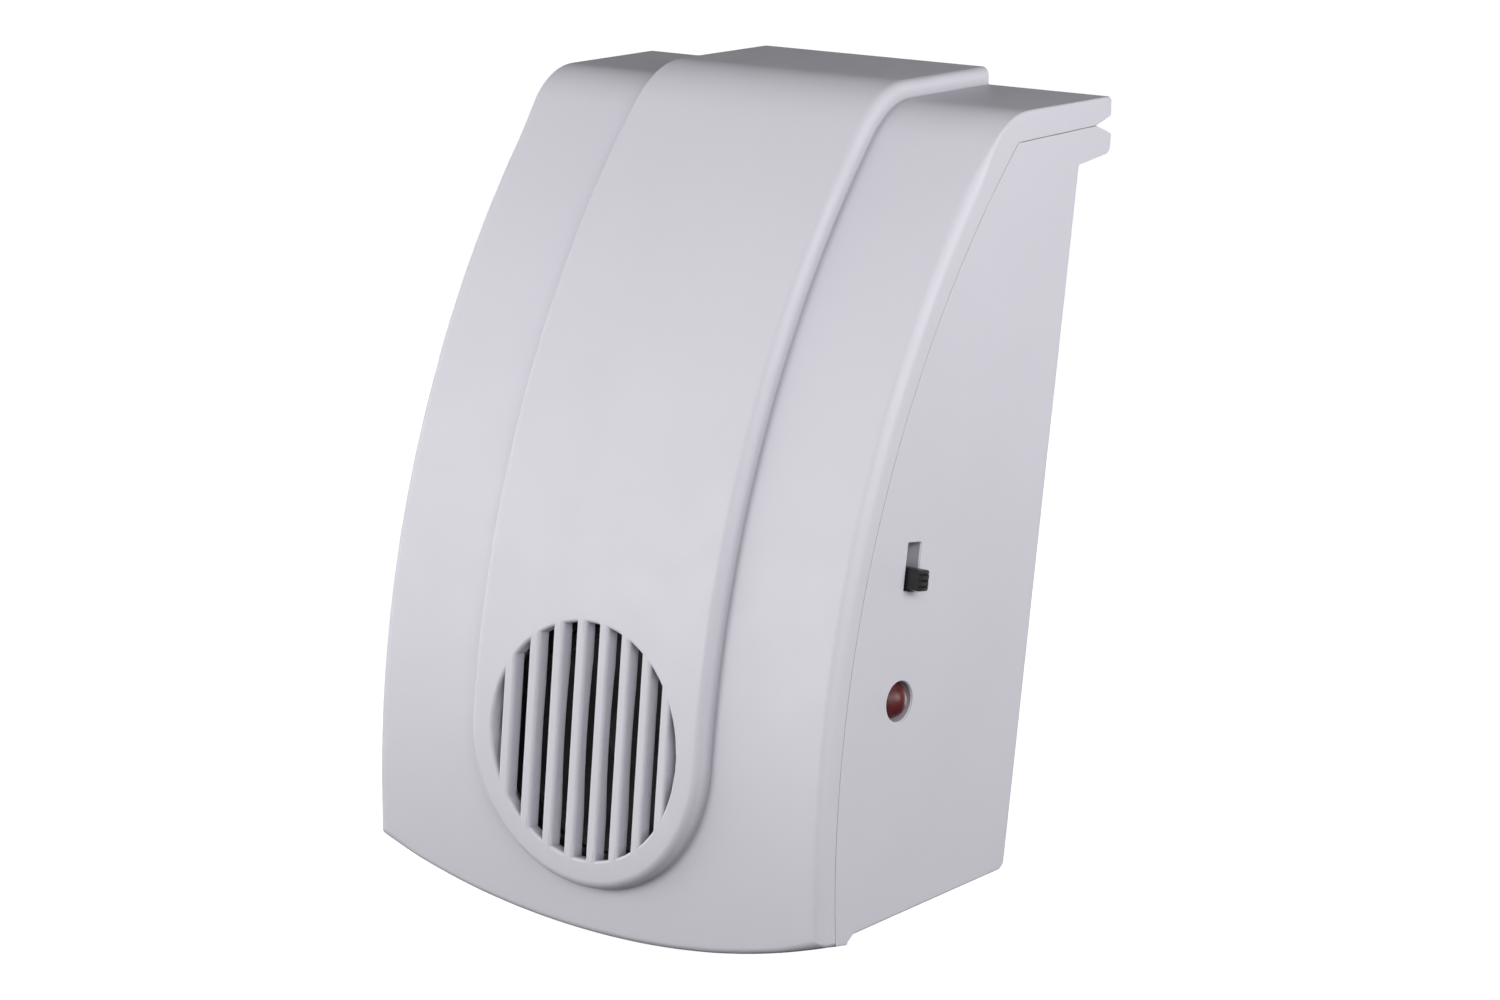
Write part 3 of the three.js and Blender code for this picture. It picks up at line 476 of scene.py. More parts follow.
def cover_specs(side):
    """Loops from the grille's centre outward, down the skirt to the seam and back behind the front."""
    fillet = np.interp(np.degrees(-SPOKES), [0, 24, 34, 146, 156, 180],
                       [SIDE_FILLET, SIDE_FILLET, UNDER_FILLET, UNDER_FILLET, SIDE_FILLET, SIDE_FILLET])
    section = band_section()
    flat_edge = BAND_HALF + section[0, 0]
    layouts = [(w, circle(w), BAND_PROUD) for w in (0, 2.5, 5, 7.5, 10, 12.5, 14.8, flat_edge - 0.6)]
    layouts += [(BAND_HALF + d, circle(BAND_HALF + d), h) for d, h in section]
    base = BAND_HALF + section[-1, 0]
    for share in (0.06, 0.16, 0.3, 0.45, 0.6, 0.75, 0.88, 0.96, 1.0):
        width = base + (HALF_WIDTH - side.fillet - base) * share
        layouts.append((width, between(circle(base), lower_outline(fillet), share), 0.0))
    front = [dict(width=w, lower=lower, height=h) for w, lower, h in layouts]
    for a in np.radians(np.linspace(0, 90, 8)[1:]):
        inset, depth = 1 - math.sin(a), 1 - math.cos(a)
        front.append(dict(
            width=HALF_WIDTH - side.fillet * inset, lower=lower_outline(fillet * inset),
            depth=side.fillet * depth, lower_depth=fillet * depth))
    rim = dict(depth=side.fillet, lower_depth=fillet)
    rows = []
    for inset, to_seam, short in ((0, 0.35, 0), (0, 0.7, 0), (0, 1, 0.1), (0.03, 1, 0.03), (0.1, 1, 0)):
        edge = dict(width=HALF_WIDTH - inset, lower=lower_outline(inset))
        rows.append(dict(rim, **edge, to_seam=to_seam, short=short))
    *skirt, back = rows
    behind = [dict(width=spec["width"], lower=spec["lower"], to_seam=1) for spec in front[-2::-1]]
    return front, skirt, [back, *behind]


def cover_block():
    side = Side(TOP_END_Y)
    front, skirt, back = cover_specs(side)
    loops = [loop(side, **spec) for spec in front + skirt + back]
    n = len(loops[0])
    points = list(np.vstack(loops))
    faces = row_faces(len(loops), n, closed=False)
    # rows across the rear, from the end of the top down round the lip to the seam notch
    lip = [(*corner, LIP_ROUND) for corner in COVER_LIP]
    lip = soften([(TOP_END_Y, top_z(TOP_END_Y), 0), *lip, (*SEAM_NOTCH, 0)])[1:-1]
    rings = [*range(len(front) - 1, 0, -1), *range(len(front))]

    def rear_row(ring_of):
        """Point numbers from the right side to the left at the rear ends of the loops."""
        middle = len(front) - 1
        return [ring_of(ring) * n + (n - 1 if c > middle else 0) for c, ring in enumerate(rings)]

    def add_row(previous, row_points):
        current = list(range(len(points), len(points) + len(row_points)))
        points.extend(row_points)
        faces.extend(strip_faces(previous, current))
        return current

    first = rear_row(lambda ring: ring)
    previous = first
    for r, q in enumerate(lip):
        inward = (LIP_MIDDLE - q) / np.linalg.norm(LIP_MIDDLE - q)
        row_points = []
        for start, ring in zip(first, rings):
            height = front[ring].get("height", 0.0) / math.cos(TOP_ANGLE) if r < BAND_ROWS else 0.0
            pull = inward * np.ravel(front[ring].get("depth", 0.0))[-1]
            row_points.append(np.array((points[start][0], q[0] + pull[0], q[1] + pull[1] + height)))
        previous = add_row(previous, row_points)
        if r == BAND_ROWS - 1:   # the band's rear face comes down to the lip
            rear = [np.array((points[i][0], q[0] + 0.04, q[1] - 0.1)) for i in previous]
            previous = add_row(previous, rear)
    faces += strip_faces(previous, rear_row(lambda ring: len(loops) - 1 - ring))
    # side ends of the lip
    first_lip = len(loops) * n
    for last in (False, True):
        column = [i * n + (n - 1 if last else 0) for i in range(len(front) - 1, len(front) + len(skirt) + 1)]
        offset = len(first) - 1 if last else 0
        ends = [first_lip + r * len(first) + offset for r in range(len(lip) + 1)]
        faces.append(tuple(column + ends[::-1]))
    return solid_object("front_cover_shell", taper(np.array(points)), faces)


def cover_pocket():
    """The hollow behind the cover's wall, open to the rear."""
    wall = WALL + 0.2
    side = Side(-WALL)
    ring_specs = [(w, circle(w), BAND_PROUD - wall) for w in (0, 5, 10, 14, 16.7)]
    ring_specs.append((BAND_HALF - wall, circle(BAND_HALF - wall), -wall))
    for share in (0.0, 0.35, 0.7, 1.0):
        width = BAND_HALF + (HALF_WIDTH - WALL - BAND_HALF) * share
        ring_specs.append((width, between(circle(BAND_HALF), lower_outline(WALL - 0.1), share), -wall))
    loops = [loop(side, w, lower, height=h) for w, lower, h in ring_specs]
    loops += [points * (1, 0, 1) + (0, -WALL, 0) for points in loops[::-1]]
    faces = row_faces(len(loops), len(loops[0]), closed=False)
    return solid_object("pocket", taper(np.vstack(loops)), faces)


def post_on_skin(x, z, radius, rear_y, lift, sides=32, inner=None):
    """A post or ring along Y whose front end is buried in the cover's wall."""
    angles = np.linspace(0, 2 * math.pi, sides, endpoint=False)

    def ends(r):
        px, pz = x + r * np.cos(angles), z + r * np.sin(angles)
        front = np.column_stack([px, arc_y(FRONT_ARC, pz) + lift, pz])
        return front, front * (1, 0, 1) + (0, rear_y, 0)

    front, rear = ends(radius)
    if inner is None:
        return loft("post", [front, rear])
    inner_front, inner_rear = ends(inner)
    return loft("ring", [inner_front, front, rear, inner_rear, inner_front], caps=False)


def grille_slots():
    """Cutters for the slots, each with a rounded mouth and with ends on the grille's circle."""
    cutters = []
    middle = (SLOT_COUNT - 1) / 2
    levels = [(-3.0, SLOT_FLARE)]        # (distance behind the bars' face, widening)
    for a in np.radians(np.linspace(0, 90, 6)):
        levels.append((SLOT_FLARE * (1 - math.cos(a)), SLOT_FLARE * (1 - math.sin(a))))
    levels.append((12.0, 0.0))
    long_n, end_n = 14, 6
    for i in range(SLOT_COUNT):
        x0 = (i - middle) * SLOT_PITCH - SLOT_WIDTH / 2
        x1 = x0 + SLOT_WIDTH
        rings = []
        for depth, wider in levels:
            reach = GRILLE_R + wider
            left = max(x0 - wider, -reach + 0.03)
            right = min(x1 + wider, reach - 0.03)
            ends = np.linspace(left, right, end_n)[1:-1]
            left_top, ends_top, right_top = (np.sqrt(reach ** 2 - x * x) for x in (left, ends, right))
            x = np.concatenate([np.full(long_n, left), ends, np.full(long_n, right), ends[::-1]])
            z = GRILLE_Z + np.concatenate([
                np.linspace(-left_top, left_top, long_n), ends_top,
                np.linspace(right_top, -right_top, long_n), -ends_top[::-1],
            ])
            rings.append(np.column_stack([x, bar_face(x, z) + depth, z]))
        cutters.append(loft(f"slot_{i}", rings))
    return gather("slots", cutters)


def bar_face(x, z):
    """Front of the bars, straight between the two points where the grille's circle crosses the band's arc."""
    reach = np.sqrt(np.maximum(GRILLE_R ** 2 - x * x, 1e-6))
    low, high = (arc_y(FRONT_ARC, GRILLE_Z + end * reach, -BAND_PROUD) for end in (-1, 1))
    chord = (low + high) / 2 + (high - low) * (z - GRILLE_Z) / (2 * reach)
    return np.where(np.abs(z - GRILLE_Z) < reach, chord, arc_y(FRONT_ARC, z, -BAND_PROUD))


def bar_block(r, back, end_y):
    """The space between a plane and the bars' face moved back, inside a circle."""
    rings = []
    for turn in np.linspace(0, math.pi, 65)[1:-1]:
        x, half = -r * math.cos(turn), r * math.sin(turn)
        z = np.array((GRILLE_Z - half, GRILLE_Z + half))
        low, high = arc_y(FRONT_ARC, z, -BAND_PROUD) + back
        rings.append(np.array([(x, low, z[0]), (x, high, z[1]), (x, end_y, z[1]), (x, end_y, z[0])]))
    return loft("bars", rings)


def rods(places, r, front, rear, sides=24):
    """Cylinders along Y at (x, z) places."""
    return [turned("rod", [(r, front), (r, rear)], (x, 0, z), sides=sides) for x, z in places]


def make_front_cover():
    cover = cover_block()
    combine(cover, [cover_pocket()], "DIFFERENCE")
    posts = [post_on_skin(x, z, POST["r"], POST["rear"], 1.1) for x, z in CASE_SCREWS]
    posts += [post_on_skin(x, z, EAR_POST["r"], EAR_POST["rear"], 1.1) for x, z in EARS]
    wall = RING_WALL
    posts.append(post_on_skin(0, GRILLE_Z, wall["outer"], wall["rear"], 0.1, sides=72, inner=wall["inner"]))
    combine(cover, [gather("posts", posts)], "UNION")
    pilots = rods(CASE_SCREWS, CASE_HOLE_R, POST["hole_front"], -12)
    pilots += rods(EARS, PILOT_R, EAR_POST["hole_front"], -32)
    recess = bar_block(GRILLE_R, 0.0, BEFORE_Y)
    relief = bar_block(RELIEF_R, BAR_DEPTH, RELIEF_REAR_Y)
    combine(cover, [gather("pilots", pilots), recess, relief, grille_slots()], "DIFFERENCE")
    return shade(cover)


cover = make_front_cover()
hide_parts("front_cover")
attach(cover, "unit")
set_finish(cover, "casing")

# ---- rear housing

SIDE_ROUND = 0.28            # rounding of the outer edges beside the two flat sides
SEAM_ROUND = 0.08
HOUSING_LIP = [              # (y, z, rounding) from the back wall round the lip
    (0.0, 38.9, 0.12), (1.3, 39.25, 0.3), (5.94, 40.6, 0.2),
    (6.4, 41.1, 0.2), (6.36, 43.16, 0.15), (4.85, 43.59, 0.3),
]
LIP_POINTS = 14              # points of the profile over which the edges' rounding changes


def housing_profile(x):
    """Closed side profile at x: (y, z) points and how much each edge is rounded at the sides."""
    line = seam_line(SEAM_GAP)
    corner_z = meet_z(SEAM_ARC, SEAM_GAP, line)
    corner_y = arc_y(SEAM_ARC, corner_z, SEAM_GAP)
    flange_z = arch_z(x)
    chamfer_y = FLANGE_REAR_Y + 1.1

    def under(y):
        return flange_z + BOTTOM_SLOPE * (y - BOTTOM_FRONT_Y)

    top_y = np.linspace(SEAM_NOTCH[0], corner_y, 8)
    top = np.column_stack([top_y, line(top_y)])
    heights = np.linspace(corner_z, flange_z, 64)[1:]
    front = np.column_stack([arc_y(SEAM_ARC, heights, SEAM_GAP), heights])
    rest = soften([
        (front[-1][0], flange_z, 0),
        (FLANGE_REAR_Y, flange_z, 0.15),
        (chamfer_y, under(chamfer_y), 0.3),
        (-20.0, under(-20.0), 0.5),
        (-REAR_CHAMFER, under(-REAR_CHAMFER), 0.25),
        (0.0, under(-REAR_CHAMFER) + REAR_CHAMFER, 0.25),
        (0.0, -20.0, 0.5),
        (0.0, 10.0, 0.5),
        *HOUSING_LIP,
        (SEAM_NOTCH[0], SEAM_NOTCH[1] - SEAM_GAP, 0),
    ])[1:-1]
    points = np.vstack([top, front, rest])
    edges = np.full(len(points), SIDE_ROUND)
    edges[: len(top) + len(front) + 4] = SEAM_ROUND
    edges[-LIP_POINTS:] = np.linspace(SIDE_ROUND, SEAM_ROUND, LIP_POINTS)
    return points, edges


def inward_normals(points):
    step = np.roll(points, -1, axis=0) - np.roll(points, 1, axis=0)
    normal = np.column_stack([-step[:, 1], step[:, 0]])
    return normal / np.linalg.norm(normal, axis=1)[:, None]


def housing_shell():
    def ring(x, points):
        full = np.insert(points, 0, x, axis=1)
        full[:, 0] *= half_width(points[:, 0]) / HALF_WIDTH
        return full

    ends = []
    for sign in (-1, 1):
        half = []
        for a in np.radians(np.linspace(90, 0, 7)):
            points, edges = housing_profile(HALF_WIDTH - SIDE_ROUND * (1 - math.sin(a)))
            moved = points + inward_normals(points) * (edges * (1 - math.cos(a)))[:, None]
            half.append(ring(sign * (HALF_WIDTH - edges * (1 - math.sin(a))), moved))
        ends.append(half)
    middle = [ring(x, housing_profile(abs(x))[0]) for x in np.linspace(-36.5, 36.5, 49)]
    return loft("rear_housing_shell", ends[0] + middle + ends[1][::-1])


def housing_cavity():
    above_z = 60.0
    rings = []
    for share in np.linspace(-1, 1, 25):
        floor = arch_z(share * (HALF_WIDTH - WALL)) + WALL
        front_z, rear_z = (floor + BOTTOM_SLOPE * (y - BOTTOM_FRONT_Y) for y in (BEFORE_Y, -WALL))
        profile = np.array([(-WALL, above_z), (BEFORE_Y, above_z), (BEFORE_Y, front_z), (-WALL, rear_z)])
        rings.append(np.column_stack([share * (half_width(profile[:, 0]) - WALL), profile]))
    return loft("cavity", rings)


def flared_cutter(outline, centre):
    """A cutter through the right-hand wall from (y, z) outline points, with its outer edge a little wider."""
    skin_x = half_width(SWITCH["y"])
    rings = []
    for x, wider in ((30, 0), (skin_x - 0.14, 0), (skin_x, 0.12), (45, 0.12)):
        offset = outline - inward_normals(outline) * wider
        rings.append(np.insert(offset + (centre["y"], centre["z"]), 0, x, axis=1))
    return loft("opening", rings)


def blade_opening(side):
    rings = []
    for y, wider in ((-5, 0), (-0.3, 0), (0, 0.2), (1, 0.2)):
        outline = rectangle(2 * (1.05 + wider), 2 * (3.475 + wider)) + (side * BLADE["x"], 0)
        rings.append(np.insert(outline, 1, y, axis=1))
    return loft("blade_opening", rings)


def make_rear_housing():
    housing = housing_shell()
    combine(housing, [housing_cavity()], "DIFFERENCE")
    posts = rods(CASE_SCREWS, TUNNEL["r"], TUNNEL["front"], -1, sides=40)
    posts += rods(BOARD_SCREWS, BOARD_POST["r"], BOARD_POST["front"], -1, sides=32)
    posts += rods(CLAMPS, CLAMP_POST["r"], CLAMP_POST["front"], -1, sides=32)
    combine(housing, [gather("posts", posts)], "UNION")
    bore, seat = TUNNEL["counterbore"], TUNNEL["seat"]
    counterbore = [(CASE_HOLE_R, -13), (CASE_HOLE_R, seat), (bore, seat)]
    counterbore += [(bore, -0.25), (bore + 0.25, 0), (bore + 0.35, 1)]
    holes = [turned("counterbore", counterbore, (x, 0, z), sides=48) for x, z in CASE_SCREWS]
    holes += rods(BOARD_SCREWS, PILOT_R, BOARD_POST["hole_front"], BOARD_POST["hole_rear"])
    holes += rods(CLAMPS, PILOT_R, CLAMP_POST["hole_front"], CLAMP_POST["hole_rear"])
    holes += [blade_opening(side) for side in (-1, 1)]
    slot = rounded_rectangle(SWITCH["width"], SWITCH["length"], SWITCH["corner"], 4)
    holes.append(flared_cutter(slot, SWITCH))
    angles = np.linspace(0, 2 * math.pi, 56, endpoint=False)
    ring = LED["hole"] * np.column_stack([np.cos(angles), np.sin(angles)])
    holes.append(flared_cutter(ring, LED))
    combine(housing, [gather("holes", holes)], "DIFFERENCE")
    return shade(housing)


housing = make_rear_housing()
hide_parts("rear_housing")
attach(housing, "unit")
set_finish(housing, "casing")

# ---- switch knob, light, plug and screws

KNOB_FOOT = {"y": 2.8, "z": 4.3, "end_x": 33.6}
KNOB_STEM = {"y": 2.0, "z": 2.6, "start_x": 33.0}


def make_knob():
    """Foot inside the wall, and a stem with three grooves across its end."""
    low, high = (np.array(c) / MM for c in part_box("switch_knob"))
    middle_z = (low[2] + high[2]) / 2
    tip = high[0]

    def ring(x, size, inset):
        outline = rounded_rectangle(size["y"] - inset, size["z"] - inset, 0.22, 5)
        return np.insert(outline + (SWITCH["y"], middle_z), 0, x, axis=1)

    end_x = KNOB_FOOT["end_x"]
    foot = ((low[0], 0.2), (low[0] + 0.15, 0.0), (end_x - 0.15, 0.0), (end_x, 0.2))
    stem = ((KNOB_STEM["start_x"], 0.0), (tip - 0.2, 0.0), (tip - 0.06, 0.12), (tip, 0.4))
    knob = loft("knob", [ring(x, KNOB_FOOT, inset) for x, inset in foot])
    combine(knob, [loft("stem", [ring(x, KNOB_STEM, inset) for x, inset in stem])], "UNION")
    grooves = []
    for z in (middle_z - 0.75, middle_z, middle_z + 0.75):
        section = ((tip - 0.22, z), (tip + 0.1, z + 0.19), (tip + 0.1, z - 0.19))
        ends = [np.array([(x, SWITCH["y"] + side * 2, height) for x, height in section]) for side in (-1, 1)]
        grooves.append(loft("groove", ends))
    combine(knob, [gather("grooves", grooves)], "DIFFERENCE")
    return shade(knob, angle=28)


def make_led():
    """Domed lens on a short cylinder with a flange at its base."""
    r, tip, flange = LED["r"], LED["tip"], LED["flange"]
    profile = [(0, flange - 1), (r + 0.2, flange - 1), (r + 0.35, flange - 0.85)]
    profile += [(r + 0.35, flange - 0.15), (r + 0.25, flange), (r, flange)]
    profile += [(r * math.cos(a), tip - r + r * math.sin(a)) for a in np.radians(np.linspace(0, 90, 20))]
    return shade(turned("led", profile, (0, LED["y"], LED["z"]), axis="X", sides=64), angle=40)


def make_blade(side):
    """Flat plug blade with a round hole, shoulders against the wall and a narrow tail inside."""
    half, tip, corner = BLADE["half_z"], BLADE["tip"], BLADE["corner"]
    upper = [
        (tip, half - corner, 0.7), (tip - corner, half, 0.7), (-2.3, half, 0.2), (-2.3, 5.2, 0.5),
        (-4.1, 5.2, 0.5), (-4.1, 1.6, 0.2), (-9.5, 1.6, 0.3), (-9.5, 0, 0),
    ]
    outline = soften([(y, -z, r) for y, z, r in upper[::-1]] + upper)[:-1]
    rings = []
    for x, inset in ((-0.75, 0.16), (-0.69, 0.05), (-0.6, 0.0), (0.6, 0.0), (0.69, 0.05), (0.75, 0.16)):
        moved = outline + inward_normals(outline) * inset
        rings.append(np.insert(moved, 0, side * BLADE["x"] + x, axis=1))
    blade = loft("blade", rings)
    r, wide = BLADE["hole"], BLADE["hole"] + 0.15
    profile = [(wide, -2), (wide, -0.75), (r, -0.6), (r, 0.6), (wide, 0.75), (wide, 2)]
    hole = turned("hole", profile, (side * BLADE["x"], BLADE["hole_y"], 0), axis="X", sides=40)
    combine(blade, [hole], "DIFFERENCE")
    return shade(blade, angle=35)


CASE_SCREW = {"seat": -9.35, "shank": 1.45, "length": 10.5, "head": 2.75, "head_height": 2.0}
THREAD_PITCH = 0.55
THREAD_DEPTH = 0.2           # share of the shank's radius
RECESS_WIDTH = 0.62
RECESS_REACH = 1.25          # share of the head's radius


def make_screw(name, x, z):
    """Pan-head cross-recess screw along Y with its point forward."""
    seat, shank, head, height = (CASE_SCREW[key] for key in ("seat", "shank", "head", "head_height"))
    top, end = seat + height, seat - CASE_SCREW["length"]
    profile = [(0, top)]
    for a in np.radians(np.linspace(15, 80, 7)):
        profile.append((head * math.sin(a), top - height * 0.62 * (1 - math.cos(a))))
    profile += [(head, top - height * 0.75), (head, top - height * 0.95)]
    profile += [(head - 0.1, seat), (shank, seat - 0.05)]
    for i in range(int((CASE_SCREW["length"] - 1.2) / THREAD_PITCH)):
        y = seat - 0.4 - i * THREAD_PITCH
        profile += [(shank * (1 - THREAD_DEPTH), y), (shank, y - 0.27)]
    profile += [(shank * 0.75, end + 0.7), (0.12, end)]
    screw = turned(name, profile, (x, 0, z), sides=40)
    for wide, high in ((RECESS_WIDTH, RECESS_REACH * head), (RECESS_REACH * head, RECESS_WIDTH)):
        rings = []
        for y, share in ((top + 1, 1.0), (top, 1.0), (top - height * 0.6, 0.72)):
            rings.append(np.insert(rectangle(wide * share, high * share) + (x, z), 1, y, axis=1))
        combine(screw, [loft("arm", rings)], "DIFFERENCE")
    return shade(screw, angle=30)


def make_cone():
    """Paper cone with a dust dome over its middle and two soft ripples at its rim."""
    def flank(r, y, width, depth, bulge, shares):
        return [(r + width * s, y - depth * s + bulge * math.sin(math.pi * s)) for s in shares]

    profile = [
        (0, -32.75), (0.9, -32.7), (1.8, -32.5), (2.7, -32.15), (3.5, -31.75), (4.1, -31.35), (4.5, -31.45),
        *flank(4.5, -31.45, 8.2, 4.0, 0.55, np.linspace(0.12, 1, 9)),
        (12.9, -35.2), (13.2, -35.55), (13.5, -35.75), (13.8, -35.6), (14.0, -35.8), (14.3, -35.9),
        (14.3, -35.4), (14.0, -35.3), (13.6, -35.25), (13.2, -35.1), (12.8, -34.8),
        *flank(4.7, -31.0, 8.0, 3.7, 0.5, np.linspace(0.9, 0.0, 9)),
        (4.3, -30.7), (3.9, -30.95), (2.7, -31.75), (1.5, -32.2), (0, -32.35),
    ]
    return shade(turned("cone", profile, (0, 0, GRILLE_Z), sides=96), angle=50)


def place(obj, body, slot, *nodes):
    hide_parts(*nodes)
    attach(obj, body)
    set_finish(obj, slot)
    return obj


cone = place(make_cone(), "unit", "cone_paper", "transducer_cone")
knob = place(make_knob(), "switch_slider", "knob_plastic", "switch_knob")
led = place(make_led(), "unit", "red_lens", "led_lens")
blades = [place(make_blade(-1), "unit", "brass", "plug_blade_left")]
blades.append(place(make_blade(1), "unit", "brass", "plug_blade_right"))
screws = []
for i, (x, z) in enumerate(CASE_SCREWS):
    screw = make_screw(f"case_screw_fine_{i + 1}", x, z)
    screws.append(place(screw, "unit", "steel", f"case_screw_{i + 1}"))

# ---- materials


class Finish:
    """A procedural material: colour, roughness and bump vary with noise in the object's own space."""

    def __init__(self, name, **sockets):
        self.material = bpy.data.materials.new(name)
        self.material.use_nodes = True
        self.nodes = self.material.node_tree.nodes
        self.links = self.material.node_tree.links
        self.shader = self.nodes["Principled BSDF"]
        self.fill(self.shader, sockets)
        self.coordinates = self.add("TexCoord")

    def fill(self, node, values):
        """Sets a node's inputs by name, with underscores for spaces."""
        for key, value in values.items():
            node.inputs[key.replace("_", " ")].default_value = value

    def add(self, kind, **values):
        node = self.nodes.new("ShaderNode" + kind)
        self.fill(node, values)
        return node

    def join(self, source, target):
        self.links.new(source, target)

    def stretch(self, scale):
        mapping = self.add("Mapping", Scale=scale)
        self.join(self.coordinates.outputs["Object"], mapping.inputs["Vector"])
        return mapping.outputs["Vector"]

    def noise(self, scale, detail=3.0, stretch=(1, 1, 1), rough=0.55):
        node = self.add("TexNoise", Scale=scale, Detail=detail, Roughness=rough)
        self.join(self.stretch(stretch), node.inputs["Vector"])
        return node.outputs["Fac"]

    def ramp(self, source, stops, constant=False):
        node = self.add("ValToRGB")
        ramp = node.color_ramp
        if constant:
            ramp.interpolation = "CONSTANT"
        while len(ramp.elements) < len(stops):
            ramp.elements.new(0.5)
        for element, (at, colour) in zip(ramp.elements, stops):
            element.position = at
            element.color = (*colour, 1)
        self.join(source, node.inputs["Fac"])
        return node.outputs["Color"]

    def spread(self, source, low, high, start=0.3, end=0.7):
        node = self.add("MapRange", From_Min=start, From_Max=end, To_Min=low, To_Max=high)
        self.join(source, node.inputs["Value"])
        return node.outputs["Result"]

    def mix(self, factor, a, b):
        node = self.add("Mix")
        node.data_type = "RGBA"
        self.join(factor, node.inputs["Factor"])
        for socket, value in ((node.inputs["A"], a), (node.inputs["B"], b)):
            if isinstance(value, tuple):
                socket.default_value = (*value, 1)
            else:
                self.join(value, socket)
        return node.outputs["Result"]

    def creases(self, colour, reach, darkest_shade):
        """The colour with painted shade: made darker in inner corners, where ambient occlusion finds them up
        to a reach in mm.
        """
        near = self.add("AmbientOcclusion", Distance=reach * MM)
        near.samples = 16
        level = self.spread(near.outputs["AO"], darkest_shade, 1.0, 0.45, 1.0)
        node = self.add("VectorMath")
        node.operation = "SCALE"
        self.join(colour, node.inputs[0])
        self.join(level, node.inputs["Scale"])
        return node.outputs["Vector"]

    def colour(self, source):
        self.join(source, self.shader.inputs["Base Color"])

    def roughness(self, source):
        self.join(source, self.shader.inputs["Roughness"])

    def bumps(self, *layers):
        """Layers of (height, depth in mm)."""
        normal = None
        for height, depth in layers:
            node = self.add("Bump", Distance=depth * MM)
            self.join(height, node.inputs["Height"])
            if normal is not None:
                self.join(normal, node.inputs["Normal"])
            normal = node.outputs["Normal"]
        self.join(normal, self.shader.inputs["Normal"])


def moulded(name, light, dark, rough=(0.4, 0.52), grain=2600.0, grain_depth=0.004, blotch=45.0,
            creases=None, **sockets):
    """Injection-moulded plastic: slow tint drift, fine spark-eroded grain and a slightly uneven gloss, with
    painted shade in inner corners when asked.
    """
    finish = Finish(name, **sockets)
    drift = finish.noise(blotch, 4.0)
    tint = finish.ramp(drift, [(0.3, dark), (0.7, light)])
    # painted shade: the tint is made darker in inner corners found by ambient occlusion
    finish.colour(finish.creases(tint, *creases) if creases else tint)
    finish.roughness(finish.spread(finish.noise(blotch * 5, 3.0), *rough))
    finish.bumps((finish.noise(grain, 2.0), grain_depth), (finish.noise(90.0, 2.0), 0.012))
    return finish.material


def drawn_metal(name, light, dark, rough=(0.26, 0.36), stretch=(1, 0.12, 1)):
    """Rolled or drawn metal: fine scratches along one direction and a little tarnish."""
    finish = Finish(name, Metallic=1.0)
    tarnish = finish.noise(260.0, 4.0)
    finish.colour(finish.ramp(tarnish, [(0.35, dark), (0.65, light)]))
    scratches = finish.noise(2600.0, 3.0, stretch)
    finish.roughness(finish.spread(scratches, *rough))
    finish.bumps((scratches, 0.0006))
    return finish.material


PLASTICS = {                 # light and dark tint, and what differs from moulded()
    # the casing's colour gets painted shade in its inner corners: (reach in mm, darkest level)
    "casing": ((0.786, 0.773, 0.845), (0.768, 0.757, 0.827), dict(creases=(1.3, 0.68))),
    "knob_plastic": ((0.030, 0.029, 0.028), (0.018, 0.018, 0.018), dict(rough=(0.35, 0.5), blotch=400.0)),
    "black_plastic": ((0.024, 0.024, 0.026), (0.013, 0.013, 0.014), dict(rough=(0.42, 0.6), blotch=200.0)),
    "wire_black": ((0.022, 0.022, 0.023), (0.012, 0.012, 0.012), dict(rough=(0.45, 0.6), blotch=300.0)),
    "wire_red": ((0.42, 0.028, 0.022), (0.30, 0.018, 0.015), dict(rough=(0.4, 0.55), blotch=300.0)),
    "white_ceramic": ((0.72, 0.68, 0.58), (0.60, 0.56, 0.47), dict(rough=(0.5, 0.7), grain=5000.0)),
    "orange_ceramic": ((0.62, 0.24, 0.06), (0.46, 0.16, 0.04), dict(rough=(0.3, 0.5), blotch=600.0)),
    "capacitor_box": ((0.55, 0.30, 0.07), (0.45, 0.22, 0.05), dict(rough=(0.3, 0.45), blotch=200.0)),
    "capacitor_sleeve": ((0.02, 0.03, 0.07), (0.014, 0.02, 0.05), dict(rough=(0.3, 0.4), blotch=200.0)),
    "component_glass": ((0.55, 0.40, 0.26), (0.36, 0.22, 0.12),
                        dict(rough=(0.08, 0.2), grain=800.0, Coat_Weight=0.6, Coat_Roughness=0.08)),
    "ferrite": ((0.045, 0.045, 0.048), (0.022, 0.022, 0.024),
                dict(rough=(0.6, 0.85), grain=3500.0, grain_depth=0.02)),
}
METALS = {                   # the same for drawn_metal()
    "brass": ((0.80, 0.61, 0.30), (0.66, 0.47, 0.20), {}),
    "steel": ((0.62, 0.62, 0.63), (0.46, 0.46, 0.47), dict(rough=(0.25, 0.42), stretch=(1, 1, 1))),
    "copper_wire": ((0.72, 0.33, 0.16), (0.52, 0.20, 0.09), dict(rough=(0.2, 0.35), stretch=(0.05, 1, 1))),
}
MATERIALS = {name: moulded(name, light, dark, **more) for name, (light, dark, more) in PLASTICS.items()}
MATERIALS |= {name: drawn_metal(name, light, dark, **more) for name, (light, dark, more) in METALS.items()}


def make_lens_finish():
    """Clouded red plastic."""
    finish = Finish("red_lens", Coat_Weight=0.15, Coat_Roughness=0.3, Specular_IOR_Level=0.5)
    cloud = finish.noise(500.0, 3.0)
    finish.colour(finish.ramp(cloud, [(0.3, (0.10, 0.016, 0.018)), (0.7, (0.17, 0.030, 0.032))]))
    finish.roughness(finish.spread(finish.noise(900.0), 0.36, 0.48))
    finish.bumps((finish.noise(700.0), 0.01))
    return finish.material


